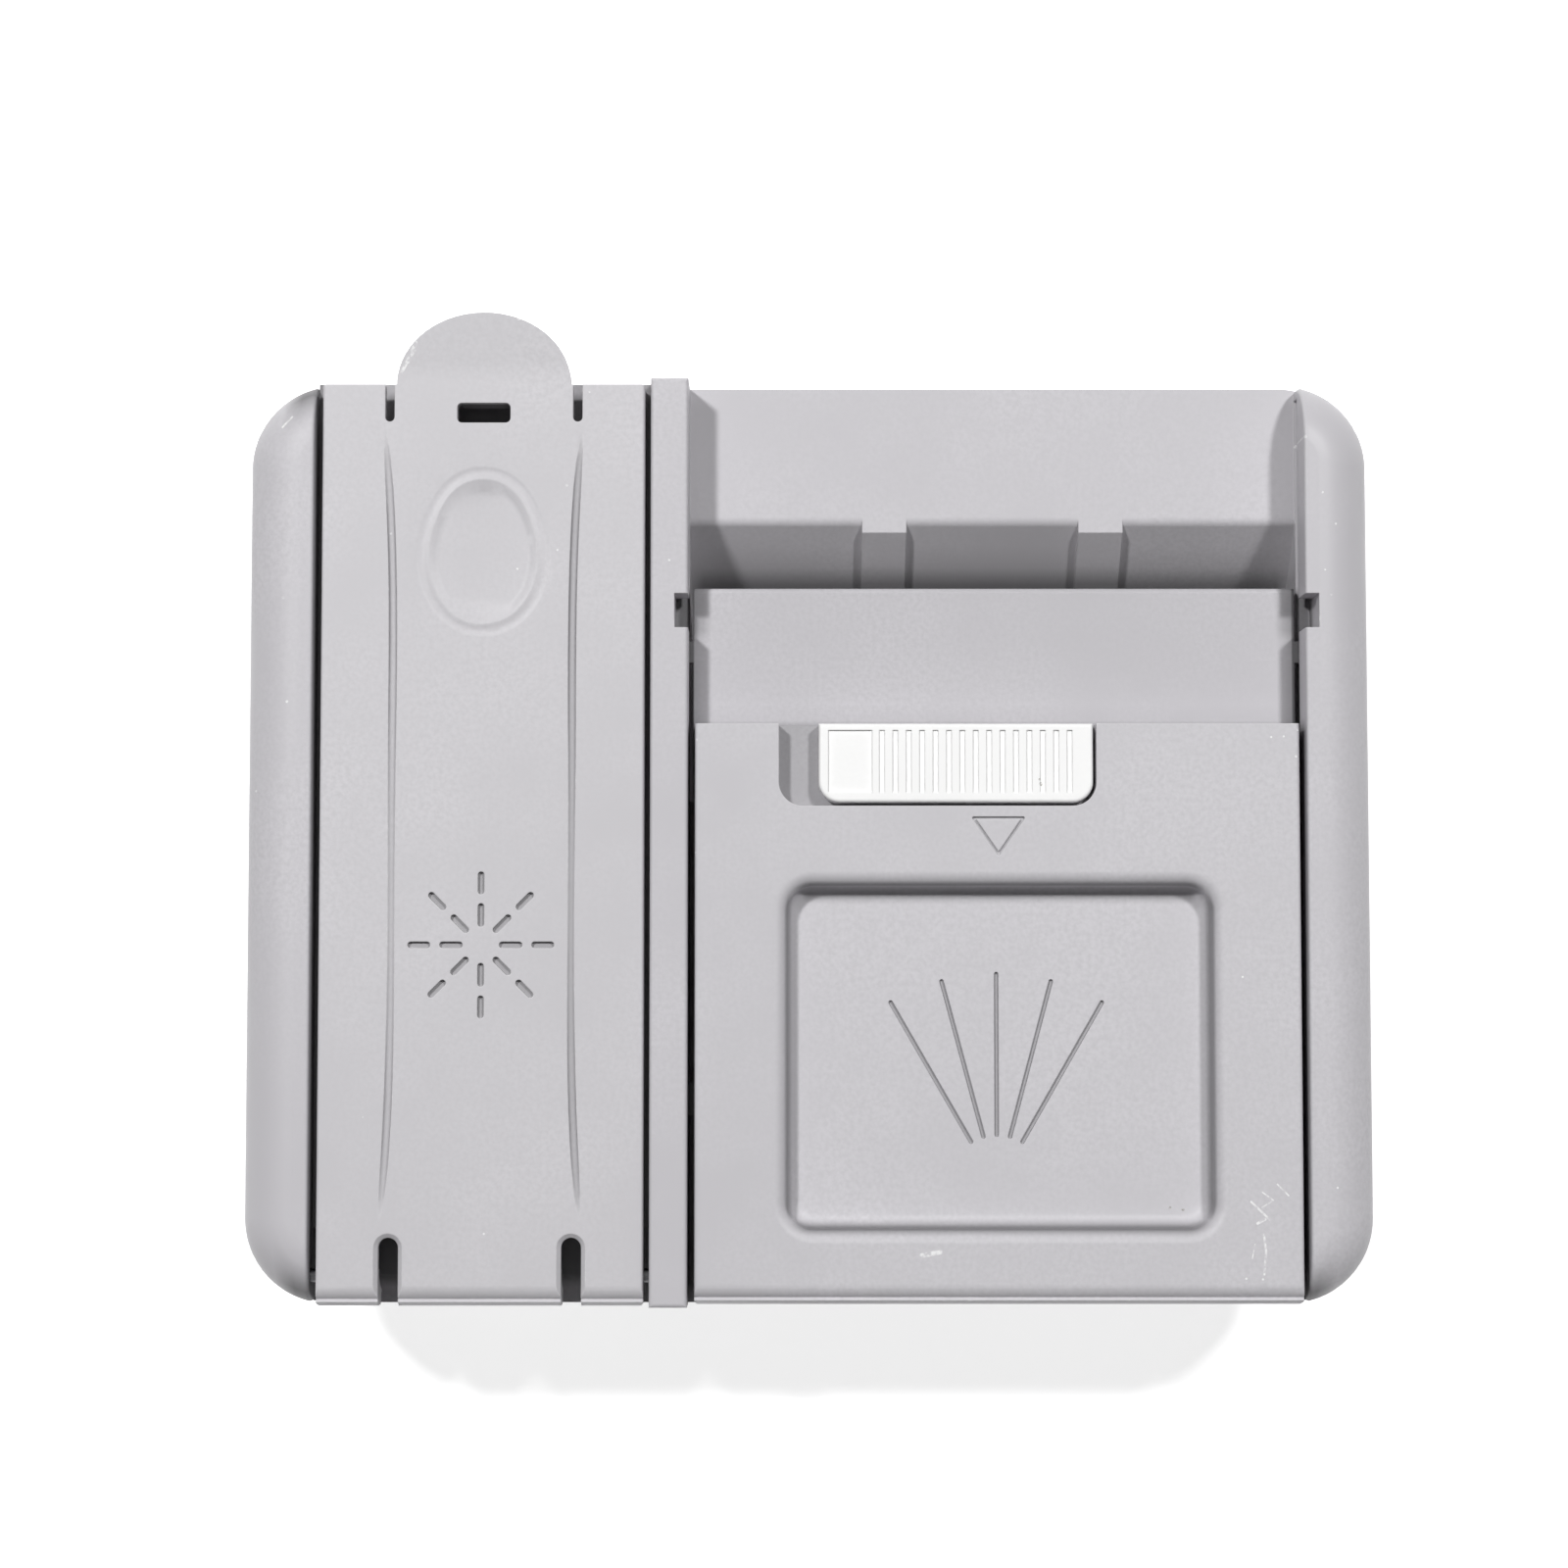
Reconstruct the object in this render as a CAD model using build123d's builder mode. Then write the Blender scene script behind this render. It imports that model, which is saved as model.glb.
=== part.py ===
from build123d import *
import os
from math import radians, sin, tan

# Dishwasher detergent dispenser. Millimetres; X right, Y to the door's top edge, Z out of the face.
# Z = 0 is the door liner; the origin is the centre of the four door screws.

# Front frame
front_width = 165.0
front_height = 135.2
corner_radius = 12.5
front_depth = 14.0
base_thickness = 4.2
cheek_width = 10.1
pillow_radius = 8.0
rinse_bay_width = 49.25
divider_width = 5.5
edge_round = 0.6
inner_edge_round = 0.5

# Door mounting
screw_inset_x = 6.3
screw_inset_y = 9.1
screw_hole_radius = 1.3
screw_hole_depth = 9.0
gasket_inset = 0.6
gasket_width = 2.8
gasket_thickness = 3.0
gasket_groove = 0.6
gasket_side_gap = 0.05

# Body behind the liner
body_depth = 34.0
body_half_height = 50.5
wall = 1.8
mechanism_wall_depth = 22.0
stiffener_thickness = 1.4
stiffener_depth = 7.0
stiffener_inset_near = 18.4
stiffener_inset_far = 38.4
stiffener_cross_rise = 26.8
tank_wall_gap = 0.6

# Detergent chamber
mouth_top_inset = 20.0
mouth_bottom = 6.0
chamber_corner = 3.0
slope_angle = 48.0
slope_edge_round = 1.6
rib_width = 6.6
rib_spacing = 32.2
rib_proud = 1.5
rib_root = 3.0

# Sliding lid
lid_side_gap = 1.05
carrier_side_gap = 0.6
lid_running_gap = 0.5
carrier_thickness = 2.0
carrier_foot_setback = 1.5
panel_edge_round = 0.7
seal_side_inset = 2.0
seal_width = 1.8
seal_groove = 0.7
seal_gap = 0.05
seal_lift = 0.15
seal_upper_drop = 5.2
seal_lower_drop = 3.0
panel_top_inset = 30.15
cover_top = 16.8
cover_foot_inset = 0.4
face_drop = 0.1
cover_wall = 1.8
cover_plate = 2.0
cover_edge_round = 0.6
lid_close_travel = 29.0
lid_open_travel = 26.0

# Rounded shoulder and bead along the foot of both lids
shoulder_run = 3.05
shoulder_drop = 1.1
bead_width = 1.05
bead_crest = 0.6
bead_rise = 0.25
bead_fall = 1.4

# Rails and gates
rail_depth = 1.8
rail_height = 2.6
rail_head_inset = 1.9
rail_lift = 0.4
lug_reach = 1.4
lug_height = 1.6
upper_lug_drop = 9.5
upper_lug_length = 3.2
lower_lug_rise = 29.4
lower_lug_length = 5.0
gate_drop = 4.1
gate_length = 5.0
gate_depth = 2.0

# Finger pocket
pocket_right_margin = 12.6
pocket_foot_margin = 10.6
pocket_head_margin = 23.4
pocket_depth = 5.4
pocket_corner = 4.0
pocket_draft = 3.0
pocket_round = 2.0

# Latch
recess_left_margin = 12.2
recess_width = 46.2
recess_height = 12.0
recess_depth = 3.9
recess_floor = 1.0
recess_corner = 3.5
latch_gap = 0.5
latch_travel = 5.3
latch_border = 1.4
latch_head_border = 1.0
latch_edge_round = 0.5
latch_plain_zone = 6.4
latch_rib_gap = 1.0
latch_rib_pitch = 1.95
latch_groove_width = 0.8
latch_groove_depth = 0.3
latch_arm_side_gap = 0.5
latch_arm_pocket_gap = 0.65
latch_arm_width = 3.2
latch_arm_thickness = 1.7
latch_arm_gap = 0.3
latch_stem_offset = 18.4
latch_stem_length = 8.0
latch_stem_drop = 6.3
latch_stem_width = 5.0
latch_slot_gap = 0.6
latch_window_gap = 2.0
latch_window_length = 14.0
abutment_offset = 4.0
abutment_thickness = 1.4
abutment_half = 2.0
leaf_half = 1.55
leaf_thickness = 0.3
leaf_folds = 4
hook_setback = 7.5
hook_length = 3.0
hook_depth = 2.0

# Catch lever
lever_thickness = 3.0
lever_pivot_z = -5.0
lever_hub_radius = 3.2
lever_pin_radius = 1.5
pin_clearance = 0.06
lever_throw_deg = 6.6
nose_gap = 0.4
nose_length = 3.0
nose_drop = 0.6
nose_swing_gap = 1.6
nose_seal_rim = 2.0
nose_seal_thickness = 1.0
lever_arm_half = 1.7
lever_arm_reach = 15.5
lever_foot_half = 4.0
lever_foot_overlap = 4.0
ear_gap = 0.5
ear_thickness = 3.0
ear_half = 3.2
ear_flare = 0.8
pin_head_radius = 2.8
pin_head_thickness = 1.2

# Actuator and dosing valve
plunger_radius = 1.8
plunger_gap = 0.4
plunger_reach = 4.4
plunger_depth = 10.0
plunger_bore_depth = 13.0
actuator_floor_gap = 0.7
actuator_offset = 4.4
actuator_length = 17.5
actuator_width = 26.0
actuator_height = 19.0
actuator_standoff = 12.0
actuator_tab = 7.6
rest_inset = 3.0
rest_setback = 1.5
actuator_tab_thickness = 2.0
actuator_screw_inset = 4.2
actuator_screw_spacing = 11.0
actuator_nozzle_radius = 4.2
actuator_nozzle = 1.6
actuator_round = 2.0
screw_clear_radius = 1.6
post_radius = 3.2
post_pilot_radius = 1.0
post_pilot_depth = 9.0
screw_head_radius = 2.7
screw_head_height = 1.9
screw_length = 7.8
screw_fit = 0.02
blade_width = 6.3
blade_thickness = 0.8
blade_length = 8.5
blade_spacing = 7.0
blade_drop = 11.0
blade_hole_radius = 0.9
valve_offset = 7.1
valve_chamber_gap = 2.1
valve_bore_depth = 12.0
valve_width = 11.0
valve_length = 14.5
valve_height = 13.0
valve_round = 1.5
stem_radius = 2.4
stem_depth = 8.0
feed_radius = 1.5
duct_radius = 1.4
duct_wall = 1.6
duct_offset = 1.5
duct_rise = 1.6
bore_gap = 0.2
spring_radius = 3.4
spring_wire = 0.64
spring_end_gap = 0.1
spring_turns = 5

# Rinse-aid flap
flap_left_gap = 1.25
flap_right_gap = 0.85
flap_head_inset = 1.0
flap_foot_inset = 0.15
flap_edge_round = 0.5
flap_plate = 2.0
flap_skirt = 1.6
flap_skirt_depth = 4.9
pan_height = 8.2
pan_plate = 2.0
pan_foot_inset = 11.1
pan_corner = 3.2
tab_half_width = 12.75
tab_height = 10.7
tab_crease_rise = 1.6
tab_drop = 0.2
tab_slit_x = 13.75
tab_slit_width = 1.4
tab_slit_depth = 5.5
window_width = 7.8
window_height = 2.9
window_drop = 4.2
window_corner = 0.7
catch_pocket_width = 10.0
catch_pocket_height = 4.9
catch_pocket_depth = 7.0
catch_post_half = 3.0
catch_post_thickness = 2.2
catch_post_height = 2.4
tongue_half = 3.4
tongue_thickness = 1.2
dish_width = 15.6
dish_height = 21.0
dish_y = 42.0
dish_depth = 0.6
dish_slope = 1.5
moat_offset = 1.2
moat_radius = 2.2
moat_depth = 0.2
strip_half_mid = 13.1
strip_half_top = 14.5
strip_half_bottom = 14.5
strip_top_y = 60.3
strip_bottom_y = -55.5
crease_fade = 8.0
crease_radius = 0.6
crease_depth = 0.4
hinge_drop = 4.2
hinge_slot_x = 13.2
hinge_slot_width = 2.9
hinge_slot_length = 9.85
hinge_slot_chamfer = 0.65
hinge_pin_radius = 1.0
hinge_pin_gap = 0.05
hinge_pin_grip = 3.0
hinge_pin_chamfer = 0.25
hinge_boss_radius = 2.3
hinge_boss_length = 6.5
foot_inner_round = 2.9
foot_web = 3.6

# Filler, dial and level sensor
filler_y = 28.0
filler_radius = 11.0
filler_collar = 2.5
filler_collar_height = 2.4
filler_seal_gap = 0.1
filler_seal_rim = 0.6
filler_seal_lip = 0.8
dial_y = -8.0
dial_radius = 9.5
dial_thickness = 2.4
dial_shaft_radius = 3.0
dial_gap = 0.3
dial_bore_gap = 0.1
dial_seat_rim = 1.6
dial_seat_depth = 1.2
dial_foot_rim = 1.1
dial_foot_low = 2.4
dial_foot_high = 4.6
dial_chamfer = 0.6
dial_grip_width = 3.0
dial_grip_height = 0.7
ring_gap = 0.05
float_width = 13.0
float_length = 24.0
float_height = 12.0
float_travel = 34.0
float_gap = 0.4
float_lift = 0.6
float_end_gap = 7.0
guide_half = 1.5
guide_height = 4.0
guide_end_gap = 5.0
magnet_radius = 2.9
magnet_thickness = 2.6
magnet_offset = 17.0
magnet_height = 8.0
magnet_side_gap = 0.1
magnet_end_gap = 0.05
reed_y = 16.0
reed_length = 24.0
reed_height = 8.0
reed_thickness = 3.2
reed_front = 16.0
reed_chamfer = 0.8
reed_pin_spacing = 8.0
reed_pin_width = 2.8
reed_pin_thickness = 0.8
reed_pin_length = 7.0
reed_pin_offset = 1.2
tank_left_gap = 1.9
tank_right_gap = 1.45
tank_corner = 5.0
tank_floor_round = 2.5

# Derived lines
half_width = front_width / 2
half_height = front_height / 2
bay_right = half_width - cheek_width
rinse_left = -bay_right
rinse_right = rinse_left + rinse_bay_width
bay_left = rinse_right + divider_width
bay_width = bay_right - bay_left
bay_x = (bay_left + bay_right) / 2
rinse_x = (rinse_left + rinse_right) / 2
divider_x = (rinse_right + bay_left) / 2
face_z = front_depth - face_drop
mouth_top = half_height - mouth_top_inset
panel_top = half_height - panel_top_inset
cover_bottom = -half_height + cover_foot_inset
rail_end = half_height - rail_head_inset
flap_top = half_height - flap_head_inset
flap_bottom = -half_height + flap_foot_inset
pan_bottom = -half_height + pan_foot_inset
mouth_z = base_thickness
floor_z = -body_depth + wall
slope_run = (mouth_z - floor_z) / tan(radians(slope_angle))
floor_back = mouth_top - slope_run
slope_offset = wall / sin(radians(slope_angle))
carrier_bottom = base_thickness + lid_running_gap
carrier_top = carrier_bottom + carrier_thickness
carrier_left = bay_left + carrier_side_gap
carrier_right = bay_right - carrier_side_gap
cover_left = bay_left + lid_side_gap
cover_right = bay_right - lid_side_gap
cover_width = cover_right - cover_left
cover_height = cover_top - cover_bottom
cover_y = (cover_top + cover_bottom) / 2
upper_lug_y = panel_top - upper_lug_drop
lower_lug_y = cover_bottom + lower_lug_rise
gate_y = panel_top - gate_drop
latch_arm_x = cover_left + cover_wall + latch_travel + latch_arm_side_gap + latch_arm_width / 2
pocket_left = latch_arm_x + latch_arm_width / 2 + latch_arm_pocket_gap + cover_wall
pocket_right = cover_right - pocket_right_margin
pocket_width = pocket_right - pocket_left
pocket_height = cover_height - pocket_foot_margin - pocket_head_margin
pocket_x = (pocket_left + pocket_right) / 2
pocket_y = cover_bottom + pocket_foot_margin + pocket_height / 2
recess_left = cover_left + recess_left_margin
recess_right = recess_left + recess_width
recess_bottom = cover_top - recess_height
cavity_top = face_z - cover_plate
recess_z = face_z - recess_depth
recess_under = recess_z - recess_floor
rail_z = base_thickness + rail_lift
lug_z = rail_z + (rail_height - lug_height) / 2
latch_length = recess_width - latch_travel - 2 * latch_gap
latch_right = recess_right - latch_gap
latch_left = latch_right - latch_length
latch_bottom = recess_bottom + latch_gap
latch_top_z = face_z - face_drop
latch_base_z = recess_z + face_drop
latch_stem_x = recess_left + latch_stem_offset
latch_stem_y = cover_top - latch_stem_drop
window_left = latch_stem_x + latch_stem_length / 2 + latch_window_gap
window_right = window_left + latch_window_length
abutment_left = window_left + abutment_offset
abutment_right = abutment_left + abutment_thickness
arm_z = carrier_top + latch_arm_gap
arm_top = arm_z + latch_arm_thickness
hook_y = mouth_bottom - lid_close_travel - hook_setback
hook_z = base_thickness - hook_depth
trough_z = hook_z - latch_arm_gap
hook_closed = hook_y - hook_length / 2 + lid_close_travel
nose_top_y = hook_closed - nose_gap
nose_rest_z = hook_z - nose_drop
lever_left = latch_arm_x - lever_thickness / 2
lever_right = latch_arm_x + lever_thickness / 2
actuator_top = -body_half_height + wall + actuator_floor_gap + actuator_length
actuator_y = actuator_top - actuator_length / 2
actuator_x = latch_arm_x + actuator_offset
rest_x = actuator_x - actuator_width / 2 + rest_inset
tab_x = actuator_x + actuator_width / 2
post_x = tab_x + actuator_screw_inset
plunger_tip = actuator_top + plunger_reach
foot_y = plunger_tip + plunger_gap + lever_arm_half
lever_pivot_y = foot_y
stem_tip = foot_y + lever_arm_half + plunger_gap
arm_bottom_z = lever_pivot_z - lever_arm_reach
tank_left = rinse_left + tank_left_gap
tank_right = rinse_right - tank_right_gap
tank_x = (tank_left + tank_right) / 2
tank_width = tank_right - tank_left
valve_x = tank_right + valve_offset
lever_foot_end = valve_x - lever_foot_overlap
valve_top = mouth_bottom - wall - valve_chamber_gap
valve_y = valve_top - valve_length / 2
valve_face_z = arm_bottom_z + valve_height / 2
outlet_z = pan_height + duct_rise
flap_left = rinse_left + flap_left_gap
flap_right = rinse_right - flap_right_gap
flap_width = flap_right - flap_left
flap_x = (flap_left + flap_right) / 2
window_y = flap_top - window_drop
tab_slit_bottom = flap_top - tab_slit_depth
hinge_slot_top = flap_bottom + hinge_slot_length
flap_under = face_z - flap_plate
hinge_y = flap_bottom + hinge_drop
hinge_z = face_z - hinge_drop
screw_x = half_width - screw_inset_x
screw_y = half_height - screw_inset_y

os.makedirs("parts", exist_ok=True)


# Block between two corners, for plain cuts and bosses
def block(x0, x1, y0, y1, z0, z1, mode=Mode.ADD):
    with Locations(((x0 + x1) / 2, (y0 + y1) / 2, (z0 + z1) / 2)):
        Box(x1 - x0, y1 - y0, z1 - z0, mode=mode)


# Cylinder along one axis from a start point
def rod(radius, x, y, z, length, turn, mode=Mode.ADD):
    with Locations(Location((x, y, z), turn)):
        Cylinder(radius, length, align=(Align.CENTER, Align.CENTER, Align.MIN), mode=mode)


# Shoulder and bead cut along the foot of a lid that ends at y
def cut_foot(x0, x1, y):
    with BuildSketch(Plane.YZ.offset(x0)) as foot:
        with BuildLine():
            valley = (y + bead_width, face_z - shoulder_drop)
            TangentArc((y + shoulder_run, face_z), valley, tangent=(-1, 0))
            Polyline(
                valley,
                (y + bead_crest, face_z - shoulder_drop + bead_rise),
                (y, face_z - shoulder_drop + bead_rise - bead_fall),
                (y - bead_width, face_z - shoulder_drop + bead_rise - bead_fall),
                (y - bead_width, face_z + shoulder_drop),
                (y + shoulder_run, face_z + shoulder_drop),
                (y + shoulder_run, face_z),
            )
        make_face()
    extrude(foot.sketch, amount=x1 - x0, mode=Mode.SUBTRACT)


# Egg outline of the thumb dish, drawn smaller or larger
def egg(shrink):
    half_x = dish_width / 2 - shrink
    half_y = dish_height / 2 - shrink
    return Spline(
        (flap_x, dish_y - half_y),
        (flap_x + 0.73 * half_x, dish_y - 0.72 * half_y),
        (flap_x + half_x, dish_y - 0.16 * half_y),
        (flap_x + 0.86 * half_x, dish_y + 0.46 * half_y),
        (flap_x + 0.48 * half_x, dish_y + 0.88 * half_y),
        (flap_x, dish_y + half_y),
        (flap_x - 0.48 * half_x, dish_y + 0.88 * half_y),
        (flap_x - 0.86 * half_x, dish_y + 0.46 * half_y),
        (flap_x - half_x, dish_y - 0.16 * half_y),
        (flap_x - 0.73 * half_x, dish_y - 0.72 * half_y),
        periodic=True,
    )


ALONG_X = (0, 90, 0)
ALONG_Y = (-90, 0, 0)
ALONG_Z = (0, 0, 0)

# Pillow cheeks, kept on both sides of the bays
with BuildPart() as cheeks:
    with BuildSketch():
        RectangleRounded(front_width, front_height, corner_radius)
    extrude(amount=front_depth)
    fillet(cheeks.faces().sort_by(Axis.Z)[-1].edges(), pillow_radius)
    block(rinse_left, bay_right, -half_height, half_height, 0, front_depth, Mode.SUBTRACT)
    for inner_x in (rinse_left, bay_right):
        inner_edges = cheeks.edges().filter_by_position(Axis.X, inner_x - 0.01, inner_x + 0.01)
        fillet(inner_edges.filter_by_position(Axis.Z, front_depth - pillow_radius, front_depth), inner_edge_round)

# Divider bar between the two bays
with BuildPart() as divider:
    block(rinse_right, bay_left, -half_height, half_height, 0, front_depth)
    fillet(divider.faces().sort_by(Axis.Z)[-1].edges(), edge_round)

# Housing
with BuildPart() as housing:
    with BuildSketch():
        RectangleRounded(front_width, front_height, corner_radius)
    extrude(amount=base_thickness)
    add(cheeks.part)
    add(divider.part)
    # Rinse-aid pan with its hollow
    block(rinse_left, rinse_right, pan_bottom, half_height, 0, pan_height)
    with BuildSketch():
        with Locations((tank_x, 0)):
            RectangleRounded(tank_width - 2 * wall, 2 * (body_half_height - wall), pan_corner)
    extrude(amount=pan_height - pan_plate, mode=Mode.SUBTRACT)
    # Detergent chamber shell and its sloped hollow
    with BuildSketch(Plane.YZ.offset(bay_left - wall)):
        with BuildLine():
            Polyline(
                (mouth_top + slope_offset, base_thickness),
                (mouth_top + slope_offset, 0),
                (floor_back + slope_offset - wall / tan(radians(slope_angle)), -body_depth),
                (mouth_bottom - wall, -body_depth),
                (mouth_bottom - wall, base_thickness),
                close=True,
            )
        make_face()
    extrude(amount=bay_width + 2 * wall)
    with BuildSketch(Plane.YZ.offset(bay_left)):
        with BuildLine():
            Polyline(
                (mouth_top, mouth_z),
                (floor_back, floor_z),
                (mouth_bottom, floor_z),
                (mouth_bottom, mouth_z),
                close=True,
            )
        chamber_face = make_face()
        fillet(chamber_face.vertices().sort_by(Axis.Y)[0:1], min(chamber_corner, (floor_back - mouth_bottom) / 2))
    extrude(amount=bay_width, mode=Mode.SUBTRACT)
    # Rounded lower edge of the ledge
    fillet(
        housing.edges()
        .filter_by(Axis.X)
        .filter_by_position(Axis.Y, mouth_top - 0.01, mouth_top + 0.01)
        .filter_by_position(Axis.Z, mouth_z - 0.01, mouth_z + 0.01),
        slope_edge_round,
    )
    # Two ribs down the sloped wall
    for side in (-1, 1):
        rib_x = bay_x + side * rib_spacing / 2
        with BuildSketch(Plane.YZ.offset(rib_x - rib_width / 2)):
            with BuildLine():
                Polyline(
                    (mouth_top + rib_root, mouth_z),
                    (mouth_top - rib_proud, mouth_z),
                    (floor_back - rib_proud, floor_z),
                    (floor_back + wall / 2, floor_z),
                    close=True,
                )
            make_face()
        extrude(amount=rib_width)
    # Rail grooves and gate notches in both bay walls
    block(bay_right, bay_right + rail_depth, -half_height, rail_end, rail_z, rail_z + rail_height, Mode.SUBTRACT)
    block(bay_left - rail_depth, bay_left, -half_height, rail_end, rail_z, rail_z + rail_height, Mode.SUBTRACT)
    gate_low = gate_y - gate_length / 2
    gate_high = gate_y + gate_length / 2
    block(bay_right, bay_right + gate_depth, gate_low, gate_high, rail_z, front_depth, Mode.SUBTRACT)
    block(bay_left - gate_depth, bay_left, gate_low, gate_high, rail_z, front_depth, Mode.SUBTRACT)
    # Trough for the latch hook and the opening for the catch nose
    block(
        latch_arm_x - latch_arm_width / 2 - latch_travel - latch_slot_gap,
        latch_arm_x + latch_arm_width / 2 + latch_slot_gap,
        hook_y - hook_length / 2 - lid_open_travel - latch_slot_gap,
        hook_y + hook_length / 2 + lid_close_travel + latch_slot_gap,
        trough_z,
        base_thickness,
        Mode.SUBTRACT,
    )
    block(
        lever_left - ear_gap,
        lever_right + ear_gap,
        nose_top_y - nose_length - nose_swing_gap,
        nose_top_y + ear_gap,
        0,
        base_thickness,
        Mode.SUBTRACT,
    )
    # Walls of the mechanism bay and two stiffening ribs
    block(bay_right, bay_right + wall, -body_half_height, mouth_bottom, -mechanism_wall_depth, 0)
    floor_y = -body_half_height + wall
    block(tank_right + tank_wall_gap, bay_right + wall, floor_y - wall, floor_y, -mechanism_wall_depth, 0)
    for inset in (stiffener_inset_near, stiffener_inset_far):
        rib_x = bay_right - inset
        block(rib_x, rib_x + stiffener_thickness, floor_y, mouth_bottom - wall, -stiffener_depth, 0)
    cross_y = -body_half_height + stiffener_cross_rise
    block(rib_x, bay_right, cross_y, cross_y + stiffener_thickness, -stiffener_depth, 0)
    # Ear for the catch lever and posts under the actuator
    with BuildSketch(Plane.YZ.offset(lever_right + ear_gap)):
        with BuildLine():
            Polyline(
                (lever_pivot_y - ear_half - ear_flare, 0),
                (lever_pivot_y - ear_half, lever_pivot_z - ear_half),
                (lever_pivot_y + ear_half, lever_pivot_z - ear_half),
                (lever_pivot_y + ear_half + ear_flare, 0),
                close=True,
            )
        make_face()
    extrude(amount=ear_thickness)
    pin_bore = ear_gap + ear_thickness
    rod(lever_pin_radius + screw_fit, lever_right, lever_pivot_y, lever_pivot_z, pin_bore, ALONG_X, Mode.SUBTRACT)
    for post_y in (actuator_y - actuator_screw_spacing / 2, actuator_y + actuator_screw_spacing / 2):
        rod(post_radius, post_x, post_y, -actuator_standoff, actuator_standoff, ALONG_Z)
        rod(post_pilot_radius, post_x, post_y, -actuator_standoff, post_pilot_depth, ALONG_Z, Mode.SUBTRACT)
    block(rest_x, rest_x + stiffener_thickness, floor_y, actuator_top - rest_setback, -actuator_standoff, 0)
    # Rinse-aid duct through the divider to the gap beside the flap
    duct_y = valve_y - duct_offset
    rod(duct_radius + duct_wall, divider_x, duct_y, valve_face_z, -valve_face_z, ALONG_Z)
    rod(duct_radius, divider_x, duct_y, valve_face_z, outlet_z - valve_face_z, ALONG_Z, Mode.SUBTRACT)
    rod(duct_radius - bore_gap, rinse_right, duct_y, outlet_z, divider_x - rinse_right, ALONG_X, Mode.SUBTRACT)
    # Filler mouth with its collar
    collar_z = pan_height - pan_plate
    rod(filler_radius + filler_collar, rinse_x, filler_y, collar_z, pan_plate + filler_collar_height, ALONG_Z)
    rod(filler_radius, rinse_x, filler_y, 0, pan_height + filler_collar_height, ALONG_Z, Mode.SUBTRACT)
    # Seat of the dosage dial
    rod(dial_shaft_radius + dial_bore_gap, rinse_x, dial_y, 0, pan_height, ALONG_Z, Mode.SUBTRACT)
    seat_z = pan_height - dial_seat_depth
    rod(dial_shaft_radius + dial_seat_rim, rinse_x, dial_y, seat_z, dial_seat_depth, ALONG_Z, Mode.SUBTRACT)
    # Catch post and the pocket under the flap's window
    block(
        flap_x - catch_post_half,
        flap_x + catch_post_half,
        window_y - window_height / 2 - catch_post_thickness,
        window_y - window_height / 2,
        pan_height,
        pan_height + catch_post_height,
    )
    block(
        flap_x - catch_pocket_width / 2,
        flap_x + catch_pocket_width / 2,
        window_y - window_height / 2,
        window_y - window_height / 2 + catch_pocket_height,
        pan_height - catch_pocket_depth,
        pan_height,
        Mode.SUBTRACT,
    )
    # Blind bores for the flap's two pins
    rod(
        hinge_pin_radius + hinge_pin_gap,
        rinse_left - hinge_pin_grip,
        hinge_y,
        hinge_z,
        rinse_bay_width + 2 * hinge_pin_grip,
        ALONG_X,
        Mode.SUBTRACT,
    )
    # Door screw pilots and the gasket groove
    with Locations((0, 0, 0)):
        with GridLocations(2 * screw_x, 2 * screw_y, 2, 2):
            Cylinder(
                screw_hole_radius,
                screw_hole_depth,
                align=(Align.CENTER, Align.CENTER, Align.MIN),
                mode=Mode.SUBTRACT,
            )
    groove_out = gasket_inset - gasket_side_gap
    groove_in = gasket_inset + gasket_width + gasket_side_gap
    with BuildSketch():
        RectangleRounded(front_width - 2 * groove_out, front_height - 2 * groove_out, corner_radius - groove_out)
        RectangleRounded(
            front_width - 2 * groove_in, front_height - 2 * groove_in, corner_radius - groove_in, mode=Mode.SUBTRACT
        )
    extrude(amount=gasket_groove, mode=Mode.SUBTRACT)
housing.part.label = "housing"
export_step(housing.part, "parts/housing.step")

# Door gasket
with BuildPart() as door_gasket:
    with BuildSketch(Plane.XY.offset(gasket_groove)):
        RectangleRounded(
            front_width - 2 * gasket_inset, front_height - 2 * gasket_inset, corner_radius - gasket_inset
        )
        RectangleRounded(
            front_width - 2 * gasket_inset - 2 * gasket_width,
            front_height - 2 * gasket_inset - 2 * gasket_width,
            corner_radius - gasket_inset - gasket_width,
            mode=Mode.SUBTRACT,
        )
    extrude(amount=-gasket_thickness)
    chamfer(door_gasket.faces().sort_by(Axis.Z)[0].edges(), 0.5)
door_gasket.part.label = "door_gasket"
export_step(door_gasket.part, "parts/door_gasket.step")

# Rinse-aid tank with a guide rail for the float
with BuildPart() as rinse_tank:
    with BuildSketch():
        with Locations((tank_x, 0)):
            RectangleRounded(tank_width, 2 * body_half_height, tank_corner)
    extrude(amount=-body_depth)
    fillet(rinse_tank.faces().sort_by(Axis.Z)[0].edges(), tank_floor_round)
    offset(amount=-wall, openings=rinse_tank.faces().sort_by(Axis.Z)[-1])
    float_x = tank_right - wall - float_gap - float_width / 2
    guide_reach = body_half_height - guide_end_gap
    guide_top = floor_z + guide_height
    block(float_x - guide_half, float_x + guide_half, -guide_reach, guide_reach, floor_z - wall / 2, guide_top)
    rod(feed_radius, tank_right - 2 * wall, valve_y, arm_bottom_z, 2 * wall, ALONG_X, Mode.SUBTRACT)
rinse_tank.part.label = "rinse_tank"
export_step(rinse_tank.part, "parts/rinse_tank.step")

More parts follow.
